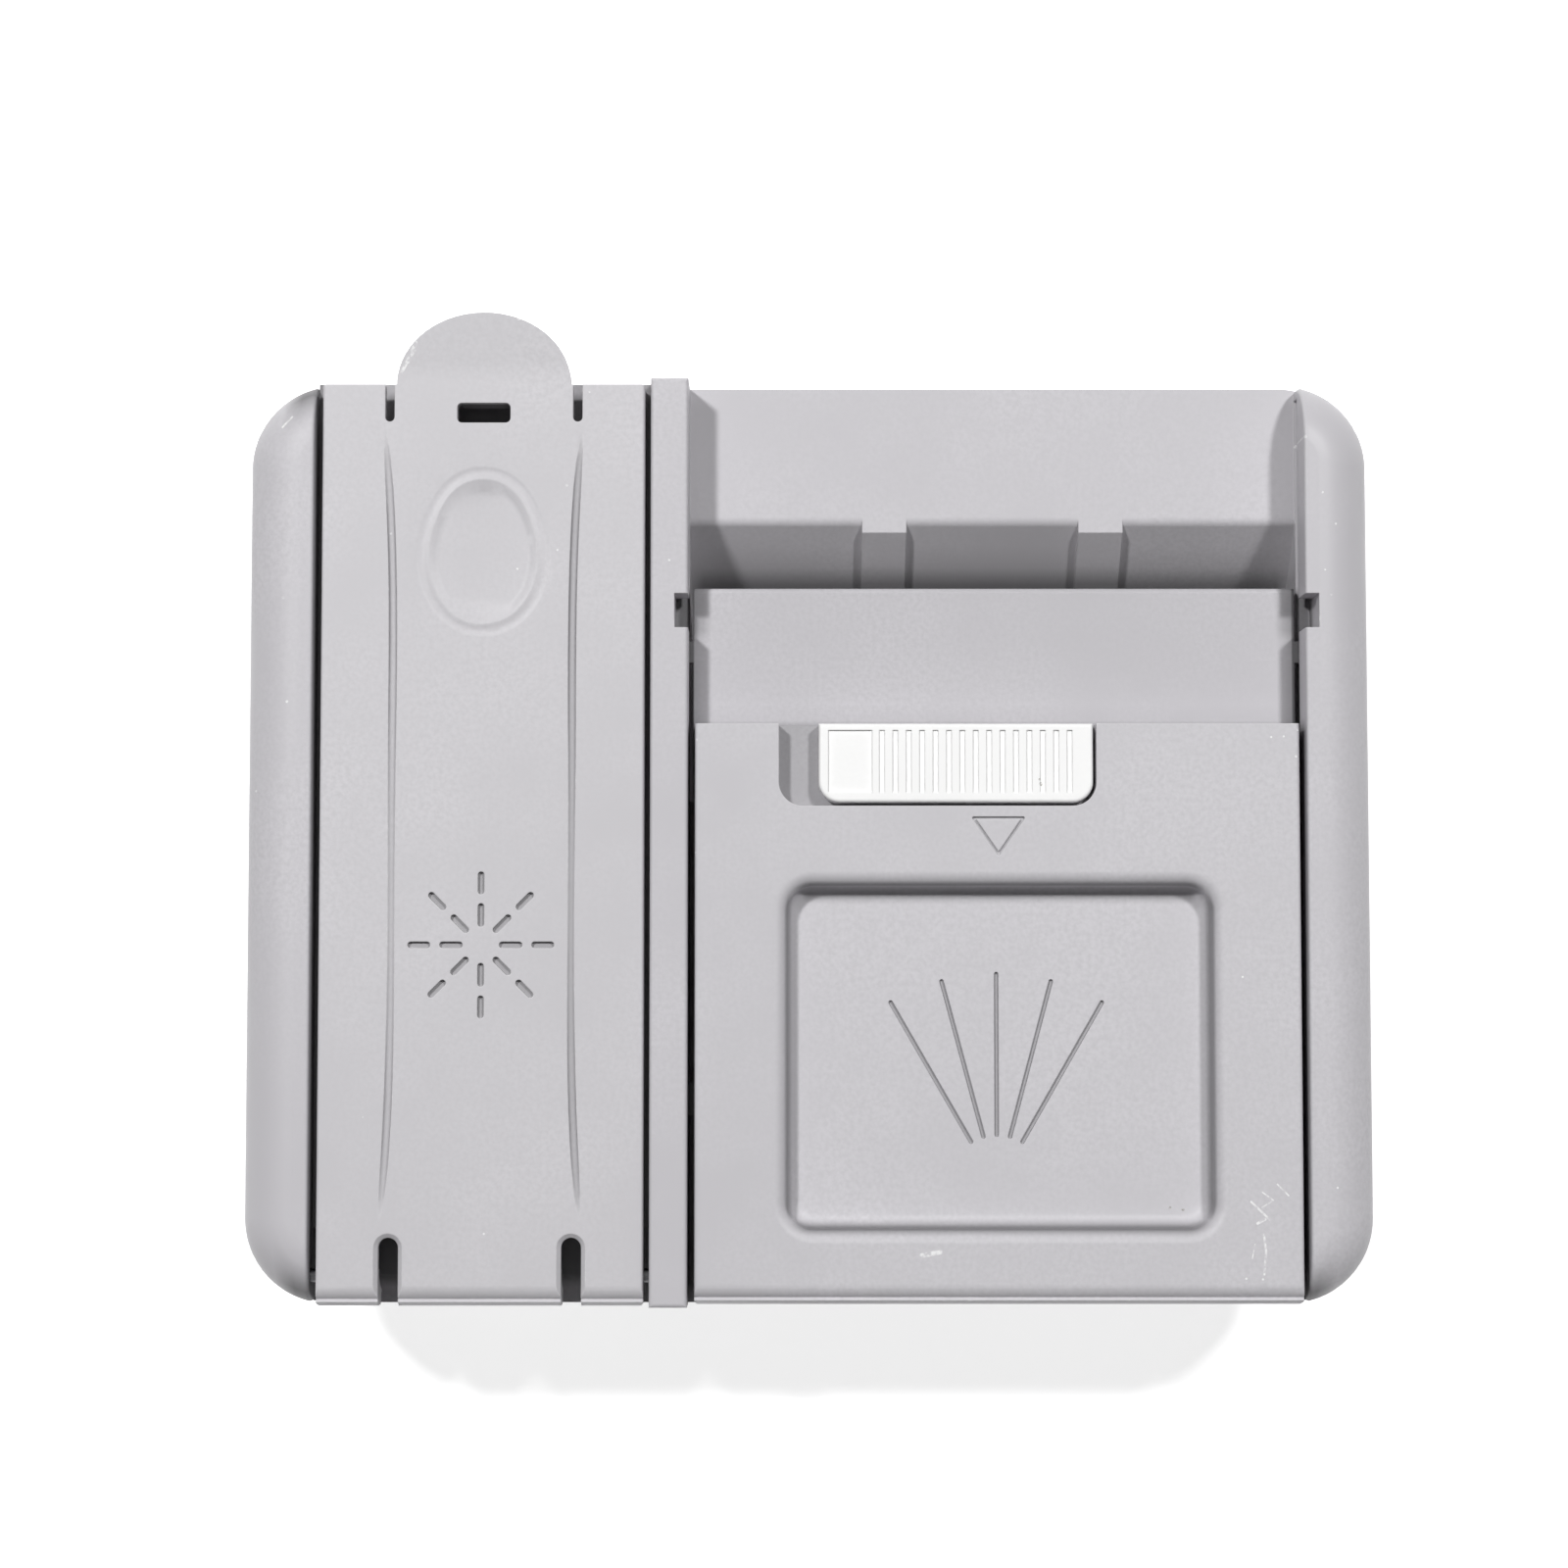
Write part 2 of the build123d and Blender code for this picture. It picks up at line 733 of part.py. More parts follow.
# Level float on the rail, with a pocket for the magnet
float_bottom = -body_half_height + float_end_gap
float_z = floor_z + float_lift
magnet_y = float_bottom + magnet_offset
magnet_z = float_z + magnet_height
magnet_x = float_x + float_width / 2 - magnet_thickness - 2 * magnet_end_gap
with BuildPart() as level_float:
    block(
        float_x - float_width / 2,
        float_x + float_width / 2,
        float_bottom,
        float_bottom + float_length,
        float_z,
        float_z + float_height,
    )
    fillet(level_float.edges().filter_by(Axis.Z), 2.0)
    block(
        float_x - guide_half - float_gap,
        float_x + guide_half + float_gap,
        float_bottom,
        float_bottom + float_length,
        float_z,
        guide_top + float_gap,
        Mode.SUBTRACT,
    )
    pocket_bore = magnet_thickness + 2 * magnet_end_gap
    rod(magnet_radius + magnet_side_gap, magnet_x, magnet_y, magnet_z, pocket_bore, ALONG_X, Mode.SUBTRACT)
level_float.part.label = "level_float"
export_step(level_float.part, "parts/level_float.step")

with BuildPart() as float_magnet:
    rod(magnet_radius, magnet_x + magnet_end_gap, magnet_y, magnet_z, magnet_thickness, ALONG_X)
float_magnet.part.label = "float_magnet"
export_step(float_magnet.part, "parts/float_magnet.step")

# Reed sensor on the tank's side wall
with BuildPart() as reed_sensor:
    block(
        tank_right,
        tank_right + reed_thickness,
        reed_y - reed_length / 2,
        reed_y + reed_length / 2,
        -reed_front - reed_height,
        -reed_front,
    )
    chamfer(reed_sensor.faces().sort_by(Axis.X)[-1].edges(), reed_chamfer)
reed_sensor.part.label = "reed_sensor"
export_step(reed_sensor.part, "parts/reed_sensor.step")

with BuildPart() as reed_terminals:
    for pin_y in (reed_y - reed_pin_spacing / 2, reed_y + reed_pin_spacing / 2):
        block(
            tank_right + reed_pin_offset,
            tank_right + reed_pin_offset + reed_pin_thickness,
            pin_y - reed_pin_width / 2,
            pin_y + reed_pin_width / 2,
            -reed_front - reed_height - reed_pin_length,
            -reed_front - reed_height,
        )
reed_terminals.part.label = "reed_terminals"
export_step(reed_terminals.part, "parts/reed_terminals.step")

# Rinse-aid flap: plate with a beaded foot, skirt, tab and hinge bosses
with BuildPart() as rinse_aid_lid:
    with BuildSketch(Plane.YZ.offset(flap_left)):
        with BuildLine():
            Polyline(
                (flap_bottom, face_z - flap_skirt_depth),
                (flap_bottom, face_z),
                (flap_top, face_z),
                (flap_top, flap_under),
                (flap_bottom + flap_skirt, flap_under),
                (flap_bottom + flap_skirt, face_z - flap_skirt_depth),
                close=True,
            )
        make_face()
    extrude(amount=flap_width)
    for skirt_x in (flap_left, flap_right - flap_skirt):
        block(skirt_x, skirt_x + flap_skirt, flap_bottom, flap_top, face_z - flap_skirt_depth, face_z)
    with BuildSketch(Plane.YZ.offset(flap_left)):
        with Locations((flap_bottom + flap_skirt, flap_under)):
            Rectangle(foot_web, foot_web, align=(Align.MIN, Align.MAX))
            with Locations((foot_web, -foot_web)):
                Circle(foot_inner_round, mode=Mode.SUBTRACT)
    extrude(amount=flap_width)
    for side_x in (flap_left, flap_right):
        side_edges = rinse_aid_lid.edges().filter_by_position(Axis.X, side_x - 0.01, side_x + 0.01)
        fillet(side_edges.filter_by_position(Axis.Z, hinge_z, face_z), flap_edge_round)
    cut_foot(flap_left, flap_right, flap_bottom)
    # Finger tab
    with BuildSketch(Plane.XY.offset(flap_under)):
        with Locations((flap_x, flap_top)):
            Ellipse(tab_half_width, tab_height)
            Rectangle(3 * tab_half_width, 2 * tab_height, align=(Align.CENTER, Align.MAX), mode=Mode.SUBTRACT)
    extrude(amount=flap_plate)
    # Slight droop of the tab beyond its crease
    with BuildSketch(Plane.YZ.offset(flap_x - tab_half_width)):
        with BuildLine():
            Polyline(
                (flap_top + tab_crease_rise, face_z),
                (flap_top + tab_height, face_z),
                (flap_top + tab_height, face_z - tab_drop),
                close=True,
            )
        make_face()
    extrude(amount=2 * tab_half_width, mode=Mode.SUBTRACT)
    # Slits beside the tab and the window
    with BuildSketch(Plane.XY.offset(face_z)):
        for side in (-1, 1):
            slit_x = flap_x + side * tab_slit_x
            with Locations((slit_x, tab_slit_bottom + tab_slit_width / 2)):
                Circle(tab_slit_width / 2)
                Rectangle(tab_slit_width, 2 * tab_slit_depth, align=(Align.CENTER, Align.MIN))
        with Locations((flap_x, window_y)):
            RectangleRounded(window_width, window_height, window_corner)
    extrude(amount=-flap_plate, mode=Mode.SUBTRACT)
    # Thumb dish, egg shaped with a sloped edge, and a shallow moat round it
    for level, shrink in ((face_z, 0), (face_z - dish_depth, dish_slope)):
        with BuildSketch(Plane.XY.offset(level)):
            with BuildLine():
                egg(shrink)
            make_face()
    loft(mode=Mode.SUBTRACT)
    with BuildLine(Plane.XY.offset(face_z + moat_radius - moat_depth)):
        moat = egg(-moat_offset)
    with BuildSketch(Plane(origin=moat @ 0, z_dir=moat % 0)):
        Circle(moat_radius)
    sweep(path=moat, mode=Mode.SUBTRACT)
    # Two waisted crease lines down the plate, fading out at both ends
    for side in (-1, 1):
        with BuildLine(Plane.XY.offset(face_z + crease_radius - crease_depth)):
            crease = Spline(
                (flap_x + side * strip_half_bottom, strip_bottom_y, crease_depth),
                (flap_x + side * (strip_half_mid + strip_half_bottom) / 2, strip_bottom_y + crease_fade),
                (flap_x + side * strip_half_mid, strip_bottom_y / 2),
                (flap_x + side * strip_half_mid, strip_top_y / 6),
                (flap_x + side * (strip_half_mid + strip_half_top) / 2, strip_top_y - crease_fade),
                (flap_x + side * strip_half_top, strip_top_y, crease_depth),
            )
        with BuildSketch(Plane(origin=crease @ 0, z_dir=crease % 0)):
            Circle(crease_radius)
        sweep(path=crease, mode=Mode.SUBTRACT)
    # Hinge slots with a chamfered rim
    for side in (-1, 1):
        for rim, depth, taper in ((0, front_depth, 0), (hinge_slot_chamfer, hinge_slot_chamfer, 45)):
            slot_half = hinge_slot_width / 2 + rim
            with BuildSketch(Plane.XY.offset(face_z)):
                with Locations((flap_x + side * hinge_slot_x, hinge_slot_top - hinge_slot_width / 2)):
                    Circle(slot_half)
                    Rectangle(2 * slot_half, hinge_slot_length, align=(Align.CENTER, Align.MAX))
            extrude(amount=-depth, taper=taper, mode=Mode.SUBTRACT)
    # Hinge bosses at both sides, bored for the pins
    for boss_x in (flap_left, flap_right - hinge_boss_length):
        rod(hinge_boss_radius, boss_x, hinge_y, hinge_z, hinge_boss_length, ALONG_X)
        block(
            boss_x,
            boss_x + hinge_boss_length,
            hinge_y - hinge_pin_radius,
            hinge_y + hinge_pin_radius,
            hinge_z,
            flap_under,
        )
        rod(
            hinge_pin_radius + hinge_pin_gap,
            boss_x,
            hinge_y,
            hinge_z,
            hinge_boss_length,
            ALONG_X,
            Mode.SUBTRACT,
        )
    # Snap tongue behind the window
    tongue_y = window_y + window_height / 2
    block(
        flap_x - tongue_half,
        flap_x + tongue_half,
        tongue_y,
        tongue_y + tongue_thickness,
        face_z - flap_skirt_depth,
        flap_under,
    )
rinse_aid_lid.part.label = "rinse_aid_lid"
export_step(rinse_aid_lid.part, "parts/rinse_aid_lid.step")

# Two short pins, fixed in the cheek and the divider
with BuildPart() as rinse_lid_pin:
    left_start = rinse_left - hinge_pin_grip + hinge_pin_gap
    right_start = flap_right - hinge_boss_length
    left_length = flap_left + hinge_boss_length - left_start
    right_length = rinse_right + hinge_pin_grip - hinge_pin_gap - right_start
    rod(hinge_pin_radius, left_start, hinge_y, hinge_z, left_length, ALONG_X)
    rod(hinge_pin_radius, right_start, hinge_y, hinge_z, right_length, ALONG_X)
    chamfer(rinse_lid_pin.edges().filter_by(GeomType.CIRCLE), hinge_pin_chamfer)
rinse_lid_pin.part.label = "rinse_lid_pin"
export_step(rinse_lid_pin.part, "parts/rinse_lid_pin.step")

# Rubber ring over the filler mouth
with BuildPart() as filler_seal:
    with BuildSketch(Plane.XY.offset(flap_under)):
        with Locations((rinse_x, filler_y)):
            Circle(filler_radius + filler_collar + filler_seal_rim)
            Circle(filler_radius - filler_seal_lip, mode=Mode.SUBTRACT)
    extrude(amount=-(flap_under - pan_height - filler_collar_height - filler_seal_gap))
filler_seal.part.label = "filler_seal"
export_step(filler_seal.part, "parts/filler_seal.step")

# Dosage dial
dial_z = pan_height + dial_gap
with BuildPart() as dosage_dial:
    with BuildSketch(Plane.XZ):
        with BuildLine():
            Polyline(
                (0, dial_foot_low),
                (dial_shaft_radius + dial_foot_rim, dial_foot_low),
                (dial_shaft_radius + dial_foot_rim, dial_foot_high),
                (dial_shaft_radius, dial_foot_high),
                (dial_shaft_radius, dial_z),
                (dial_radius, dial_z),
                (dial_radius, dial_z + dial_thickness - dial_chamfer),
                (dial_radius - dial_chamfer, dial_z + dial_thickness),
                (0, dial_z + dial_thickness),
                close=True,
            )
        make_face()
    revolve(axis=Axis.Z)
    with BuildSketch(Plane.XY.offset(dial_z + dial_thickness / 2)):
        SlotOverall(dial_radius * 1.6, dial_grip_width, rotation=90)
    extrude(amount=dial_thickness / 2 + dial_grip_height)
dosage_dial.part = dosage_dial.part.moved(Location((rinse_x, dial_y, 0)))
dosage_dial.part.label = "dosage_dial"
export_step(dosage_dial.part, "parts/dosage_dial.step")

with BuildPart() as dial_o_ring:
    with BuildSketch(Plane.XY.offset(seat_z + ring_gap)):
        with Locations((rinse_x, dial_y)):
            Circle(dial_shaft_radius + dial_seat_rim - 2 * ring_gap)
            Circle(dial_shaft_radius + ring_gap, mode=Mode.SUBTRACT)
    extrude(amount=dial_seat_depth - 2 * ring_gap)
    fillet(dial_o_ring.edges(), dial_seat_depth / 4)
dial_o_ring.part.label = "dial_o_ring"
export_step(dial_o_ring.part, "parts/dial_o_ring.step")

# Carrier plate of the sliding lid
with BuildPart() as lid_carrier:
    with BuildSketch(Plane.YZ.offset(carrier_left)):
        with BuildLine():
            Polyline(
                (cover_bottom + carrier_foot_setback, carrier_bottom),
                (panel_top, carrier_bottom),
                (panel_top, carrier_top),
                (cover_bottom + carrier_foot_setback, carrier_top),
                close=True,
            )
        make_face()
    extrude(amount=carrier_right - carrier_left)
    fillet(
        lid_carrier.edges()
        .filter_by(Axis.X)
        .filter_by_position(Axis.Y, panel_top - 0.01, panel_top + 0.01)
        .sort_by(Axis.Z)[-1:],
        panel_edge_round,
    )
    for lug_y, lug_length in ((upper_lug_y, upper_lug_length), (lower_lug_y, lower_lug_length)):
        block(
            bay_left - lug_reach,
            bay_right + lug_reach,
            lug_y - lug_length / 2,
            lug_y + lug_length / 2,
            lug_z,
            lug_z + lug_height,
        )
    block(
        latch_arm_x - latch_arm_width / 2 - latch_travel - latch_slot_gap,
        latch_arm_x + latch_arm_width / 2 + latch_slot_gap,
        hook_y - hook_length / 2 - latch_slot_gap,
        hook_y + hook_length / 2 + latch_slot_gap,
        carrier_bottom,
        carrier_top,
        Mode.SUBTRACT,
    )
    seal_left = carrier_left + seal_side_inset
    seal_right = carrier_right - seal_side_inset
    upper_seal_y = panel_top - seal_upper_drop
    lower_seal_y = mouth_bottom - seal_lower_drop - lid_close_travel
    groove_top = carrier_bottom + seal_groove
    for seal_y in (upper_seal_y, lower_seal_y):
        block(seal_left, seal_right, seal_y, seal_y + seal_width, carrier_bottom, groove_top, Mode.SUBTRACT)
lid_carrier.part.label = "lid_carrier"
export_step(lid_carrier.part, "parts/lid_carrier.step")

with BuildPart() as lid_seal:
    for seal_y in (upper_seal_y, lower_seal_y):
        block(
            seal_left + seal_gap,
            seal_right - seal_gap,
            seal_y + seal_gap,
            seal_y + seal_width - seal_gap,
            base_thickness + seal_lift,
            groove_top - seal_gap,
        )
lid_seal.part.label = "lid_seal"
export_step(lid_seal.part, "parts/lid_seal.step")

# Cover of the sliding lid: beaded foot, finger pocket, latch recess
with BuildPart() as lid_cover:
    with BuildSketch(Plane.XY.offset(carrier_top)):
        with Locations(((cover_left + cover_right) / 2, cover_y)):
            Rectangle(cover_width, cover_height)
    extrude(amount=face_z - carrier_top)
    for side_x in (cover_left, cover_right):
        side_edges = lid_cover.edges().filter_by_position(Axis.X, side_x - 0.01, side_x + 0.01)
        side_edges = side_edges.filter_by_position(Axis.Z, carrier_top + 0.01, face_z)
        fillet(side_edges.filter_by_position(Axis.Y, cover_bottom - 0.01, cover_top - 0.01), cover_edge_round)
    cut_foot(cover_left, cover_right, cover_bottom)
    # Hollow beside the pocket, in two levels
    with BuildSketch(Plane.XY.offset(carrier_top)):
        with Locations(((cover_left + cover_right) / 2, cover_y)):
            Rectangle(cover_width - 2 * cover_wall, cover_height - 2 * cover_wall)
        with Locations((pocket_x, pocket_y)):
            RectangleRounded(
                pocket_width + 2 * cover_wall, pocket_height + 2 * cover_wall, pocket_corner, mode=Mode.SUBTRACT
            )
    extrude(amount=recess_under - carrier_top, mode=Mode.SUBTRACT)
    with BuildSketch(Plane.XY.offset(recess_under)):
        with Locations(((cover_left + cover_right) / 2, cover_y)):
            Rectangle(cover_width - 2 * cover_wall, cover_height - 2 * cover_wall)
        with Locations((pocket_x, pocket_y)):
            RectangleRounded(
                pocket_width + 2 * cover_wall, pocket_height + 2 * cover_wall, pocket_corner, mode=Mode.SUBTRACT
            )
        with Locations(((recess_left + recess_right) / 2, cover_top)):
            Rectangle(
                recess_width + 2 * cover_wall,
                2 * (recess_height + cover_wall),
                mode=Mode.SUBTRACT,
            )
    extrude(amount=cavity_top - recess_under, mode=Mode.SUBTRACT)
    # Finger pocket with drafted walls
    with BuildSketch(Plane.XY.offset(face_z)):
        with Locations((pocket_x, pocket_y)):
            RectangleRounded(pocket_width, pocket_height, pocket_corner)
    extrude(amount=-pocket_depth, taper=pocket_draft, mode=Mode.SUBTRACT)
    pocket_floor = lid_cover.faces().filter_by(Plane.XY).filter_by_position(
        Axis.Z, face_z - pocket_depth - 0.01, face_z - pocket_depth + 0.01
    )
    fillet(pocket_floor.edges(), pocket_round)
    rim = lid_cover.edges().filter_by_position(Axis.Z, face_z - 0.01, face_z + 0.01)
    rim = rim.filter_by_position(Axis.Y, pocket_y - pocket_height / 2 - 0.1, pocket_y + pocket_height / 2 + 0.1)
    rim = rim.filter_by_position(Axis.X, pocket_x - pocket_width / 2 - 0.1, pocket_x + pocket_width / 2 + 0.1)
    fillet(rim, pocket_round)
    # Latch recess, open to the top edge
    with BuildSketch(Plane.XY.offset(face_z)):
        with Locations(((recess_left + recess_right) / 2, cover_top)):
            recess_shape = Rectangle(recess_width, 2 * recess_height)
        fillet(recess_shape.vertices().group_by(Axis.Y)[0], recess_corner)
    extrude(amount=-recess_depth, mode=Mode.SUBTRACT)
    # Slot in the recess floor for the latch stem
    block(
        latch_stem_x - latch_stem_length / 2 - latch_travel - latch_slot_gap,
        latch_stem_x + latch_stem_length / 2 + latch_slot_gap,
        latch_stem_y - latch_stem_width / 2 - latch_slot_gap,
        latch_stem_y + latch_stem_width / 2 + latch_slot_gap,
        recess_under,
        recess_z,
        Mode.SUBTRACT,
    )
    # Abutment of the latch spring
    block(
        abutment_left,
        abutment_right,
        latch_stem_y - abutment_half,
        latch_stem_y + abutment_half,
        carrier_top,
        recess_under,
    )
lid_cover.part.label = "lid_cover"
export_step(lid_cover.part, "parts/lid_cover.step")

# White latch slider: grip, stem, arm and hook
with BuildPart() as latch_slider:
    with BuildSketch(Plane.XY.offset(latch_base_z)):
        with Locations(((latch_left + latch_right) / 2, cover_top)):
            grip_shape = Rectangle(latch_length, 2 * (cover_top - latch_bottom))
        fillet(grip_shape.vertices().group_by(Axis.Y)[0], recess_corner - latch_gap)
        with Locations(((latch_left + latch_right) / 2, cover_top)):
            Rectangle(2 * latch_length, cover_top, align=(Align.CENTER, Align.MIN), mode=Mode.SUBTRACT)
    extrude(amount=latch_top_z - latch_base_z)
    fillet(latch_slider.faces().sort_by(Axis.Z)[-1].edges(), latch_edge_round)
    plain_left = latch_left + latch_border
    ribs_left = plain_left + latch_plain_zone + latch_rib_gap
    latch_rib_count = int((latch_right - latch_border - latch_groove_width - ribs_left) / latch_rib_pitch) + 1
    field_low = latch_bottom + latch_border
    field_high = cover_top - latch_head_border
    block(
        plain_left,
        plain_left + latch_plain_zone,
        field_low,
        field_high,
        latch_top_z - latch_groove_depth,
        latch_top_z,
        Mode.SUBTRACT,
    )
    for index in range(latch_rib_count):
        groove_x = ribs_left + index * latch_rib_pitch
        block(
            groove_x,
            groove_x + latch_groove_width,
            field_low,
            field_high,
            latch_top_z - latch_groove_depth,
            latch_top_z,
            Mode.SUBTRACT,
        )
    stem_left = latch_stem_x - latch_stem_length / 2
    stem_right = latch_stem_x + latch_stem_length / 2
    stem_low = latch_stem_y - latch_stem_width / 2
    stem_high = latch_stem_y + latch_stem_width / 2
    arm_left = latch_arm_x - latch_arm_width / 2
    arm_right = latch_arm_x + latch_arm_width / 2
    block(stem_left, stem_right, stem_low, stem_high, arm_top, latch_base_z)
    bridge_low = latch_stem_y - abutment_half - latch_window_gap
    bridge_high = latch_stem_y + abutment_half + latch_window_gap
    bridge_end = window_right + latch_window_gap
    window_half = abutment_half + latch_slot_gap
    block(arm_left, bridge_end, bridge_low, bridge_high, arm_z, arm_top)
    block(
        window_left,
        window_right,
        latch_stem_y - window_half,
        latch_stem_y + window_half,
        arm_z,
        arm_top,
        Mode.SUBTRACT,
    )
    block(arm_left, arm_right, hook_y - hook_length / 2, bridge_high, arm_z, arm_top)
    block(arm_left, arm_right, hook_y - hook_length / 2, hook_y + hook_length / 2, hook_z, arm_top)
latch_slider.part.label = "latch_slider"
export_step(latch_slider.part, "parts/latch_slider.step")

# Leaf spring between the abutment and the slider's window
with BuildPart() as latch_spring:
    leaf_start = abutment_right + leaf_thickness
    leaf_pitch = (window_right - leaf_thickness - leaf_start) / leaf_folds
    leaf_points = []
    for fold in range(leaf_folds + 1):
        leaf_y = latch_stem_y + leaf_half * (-1) ** (fold + 1)
        leaf_points.append((leaf_start + fold * leaf_pitch, leaf_y))
    with BuildSketch(Plane.XY.offset(arm_z + face_drop)):
        with BuildLine():
            leaf = Polyline(*leaf_points)
            offset(leaf, amount=leaf_thickness / 2, kind=Kind.ARC)
        make_face()
    extrude(amount=latch_arm_thickness - 2 * face_drop)
latch_spring.part.label = "latch_spring"
export_step(latch_spring.part, "parts/latch_spring.step")

# Catch lever: hub, nose arm, drive arm and wide foot
with BuildPart() as release_lever:
    with BuildSketch(Plane.YZ.offset(lever_left)):
        with Locations((lever_pivot_y, lever_pivot_z)):
            Circle(lever_hub_radius)
        with BuildLine():
            Polyline(
                (lever_pivot_y, lever_pivot_z - 2.0),
                (nose_top_y - 0.6, lever_pivot_z - 1.2),
                (nose_top_y, lever_pivot_z),
                (nose_top_y, nose_rest_z),
                (nose_top_y - nose_length, nose_rest_z),
                (nose_top_y - nose_length, lever_pivot_z + 1.6),
                (lever_pivot_y, lever_pivot_z + 2.0),
                close=True,
            )
        make_face()
        with Locations((lever_pivot_y, lever_pivot_z)):
            Rectangle(2 * lever_arm_half, lever_arm_reach + lever_foot_half, align=(Align.CENTER, Align.MAX))
    extrude(amount=lever_thickness)
    block(
        lever_foot_end,
        lever_right,
        foot_y - lever_arm_half,
        foot_y + lever_arm_half,
        arm_bottom_z - lever_foot_half,
        arm_bottom_z + lever_foot_half,
    )
    rod(
        lever_pin_radius + pin_clearance,
        lever_left,
        lever_pivot_y,
        lever_pivot_z,
        lever_thickness,
        ALONG_X,
        Mode.SUBTRACT,
    )
release_lever.part.label = "release_lever"
export_step(release_lever.part, "parts/release_lever.step")

with BuildPart() as lever_pin:
    head_x = lever_left - ear_gap - pin_head_thickness
    pin_length = pin_head_thickness + ear_gap + lever_thickness + ear_gap + ear_thickness
    rod(pin_head_radius, head_x, lever_pivot_y, lever_pivot_z, pin_head_thickness, ALONG_X)
    rod(lever_pin_radius, head_x, lever_pivot_y, lever_pivot_z, pin_length, ALONG_X)
    fillet(lever_pin.faces().sort_by(Axis.X)[0].edges(), pin_head_thickness / 3)
lever_pin.part.label = "lever_pin"
export_step(lever_pin.part, "parts/lever_pin.step")

# Rubber frame round the catch nose opening
with BuildPart() as catch_seal:
    nose_mid = nose_top_y - (nose_length + nose_swing_gap - ear_gap) / 2
    seal_x = lever_thickness + 2 * ear_gap
    seal_y = nose_length + nose_swing_gap + ear_gap
    with BuildSketch():
        with Locations((latch_arm_x, nose_mid)):
            RectangleRounded(seal_x + 2 * nose_seal_rim, seal_y + 2 * nose_seal_rim, 0.7 * nose_seal_rim)
            RectangleRounded(seal_x, seal_y, ear_gap, mode=Mode.SUBTRACT)
    extrude(amount=-nose_seal_thickness)
catch_seal.part.label = "catch_seal"
export_step(catch_seal.part, "parts/catch_seal.step")

# Actuator case with its tabs and the bore of the plunger
plunger_z = arm_bottom_z
tab_z = -actuator_standoff - actuator_tab_thickness
with BuildPart() as actuator_case:
    block(
        actuator_x - actuator_width / 2,
        tab_x,
        actuator_top - actuator_length,
        actuator_top,
        -actuator_standoff - actuator_height,
        -actuator_standoff,
    )
    fillet(actuator_case.edges().filter_by(Axis.Y), actuator_round)
    nozzle_y = actuator_top - actuator_round
    rod(actuator_nozzle_radius, latch_arm_x, nozzle_y, plunger_z, actuator_round + actuator_nozzle, ALONG_Y)
    bore_y = actuator_top - plunger_bore_depth
    bore_length = plunger_bore_depth + actuator_nozzle
    rod(plunger_radius + bore_gap, latch_arm_x, bore_y, plunger_z, bore_length, ALONG_Y, Mode.SUBTRACT)
    block(
        tab_x - actuator_round,
        tab_x + actuator_tab,
        actuator_y - actuator_length / 2,
        actuator_y + actuator_length / 2,
        tab_z,
        -actuator_standoff,
    )
    for post_y in (actuator_y - actuator_screw_spacing / 2, actuator_y + actuator_screw_spacing / 2):
        rod(screw_clear_radius, post_x, post_y, tab_z, actuator_tab_thickness, ALONG_Z, Mode.SUBTRACT)
actuator_case.part.label = "actuator_case"
export_step(actuator_case.part, "parts/actuator_case.step")

with BuildPart() as actuator_plunger:
    plunger_y = actuator_top - plunger_depth
    rod(plunger_radius, latch_arm_x, plunger_y, plunger_z, plunger_tip - plunger_y, ALONG_Y)
    fillet(actuator_plunger.faces().sort_by(Axis.Y)[-1].edges(), plunger_radius / 2)
actuator_plunger.part.label = "actuator_plunger"
export_step(actuator_plunger.part, "parts/actuator_plunger.step")

with BuildPart() as actuator_terminals:
    blade_top = -actuator_standoff - blade_drop + blade_spacing / 2
    for blade_z in (blade_top, blade_top - blade_spacing):
        block(
            tab_x,
            tab_x + blade_length,
            actuator_y - blade_width / 2,
            actuator_y + blade_width / 2,
            blade_z - blade_thickness / 2,
            blade_z + blade_thickness / 2,
        )
    hole_x = tab_x + blade_length - blade_width / 2
    hole_z = blade_top - blade_spacing - blade_thickness
    rod(blade_hole_radius, hole_x, actuator_y, hole_z, blade_spacing + 2 * blade_thickness, ALONG_Z, Mode.SUBTRACT)
    chamfer(actuator_terminals.faces().group_by(Axis.X)[-1].edges().filter_by(Axis.Z), blade_thickness)
actuator_terminals.part.label = "actuator_terminals"
export_step(actuator_terminals.part, "parts/actuator_terminals.step")

with BuildPart() as actuator_screws:
    for post_y in (actuator_y - actuator_screw_spacing / 2, actuator_y + actuator_screw_spacing / 2):
        rod(screw_head_radius, post_x, post_y, tab_z - screw_head_height, screw_head_height, ALONG_Z)
        rod(post_pilot_radius - screw_fit, post_x, post_y, tab_z, screw_length, ALONG_Z)
actuator_screws.part.label = "actuator_screws"
export_step(actuator_screws.part, "parts/actuator_screws.step")

# Rinse-aid dosing valve, stem and return spring
with BuildPart() as dosing_valve:
    block(
        tank_right,
        tank_right + valve_width,
        valve_top - valve_length,
        valve_top,
        arm_bottom_z - valve_height / 2,
        arm_bottom_z + valve_height / 2,
    )
    fillet(dosing_valve.edges().filter_by(Axis.Y), valve_round)
    valve_bottom = valve_top - valve_length
    rod(stem_radius + bore_gap, valve_x, valve_bottom, arm_bottom_z, valve_bore_depth, ALONG_Y, Mode.SUBTRACT)
    rod(feed_radius, tank_right, valve_y, arm_bottom_z, valve_x - tank_right, ALONG_X, Mode.SUBTRACT)
    rod(duct_radius, divider_x, duct_y, arm_bottom_z, valve_height, ALONG_Z, Mode.SUBTRACT)
dosing_valve.part.label = "dosing_valve"
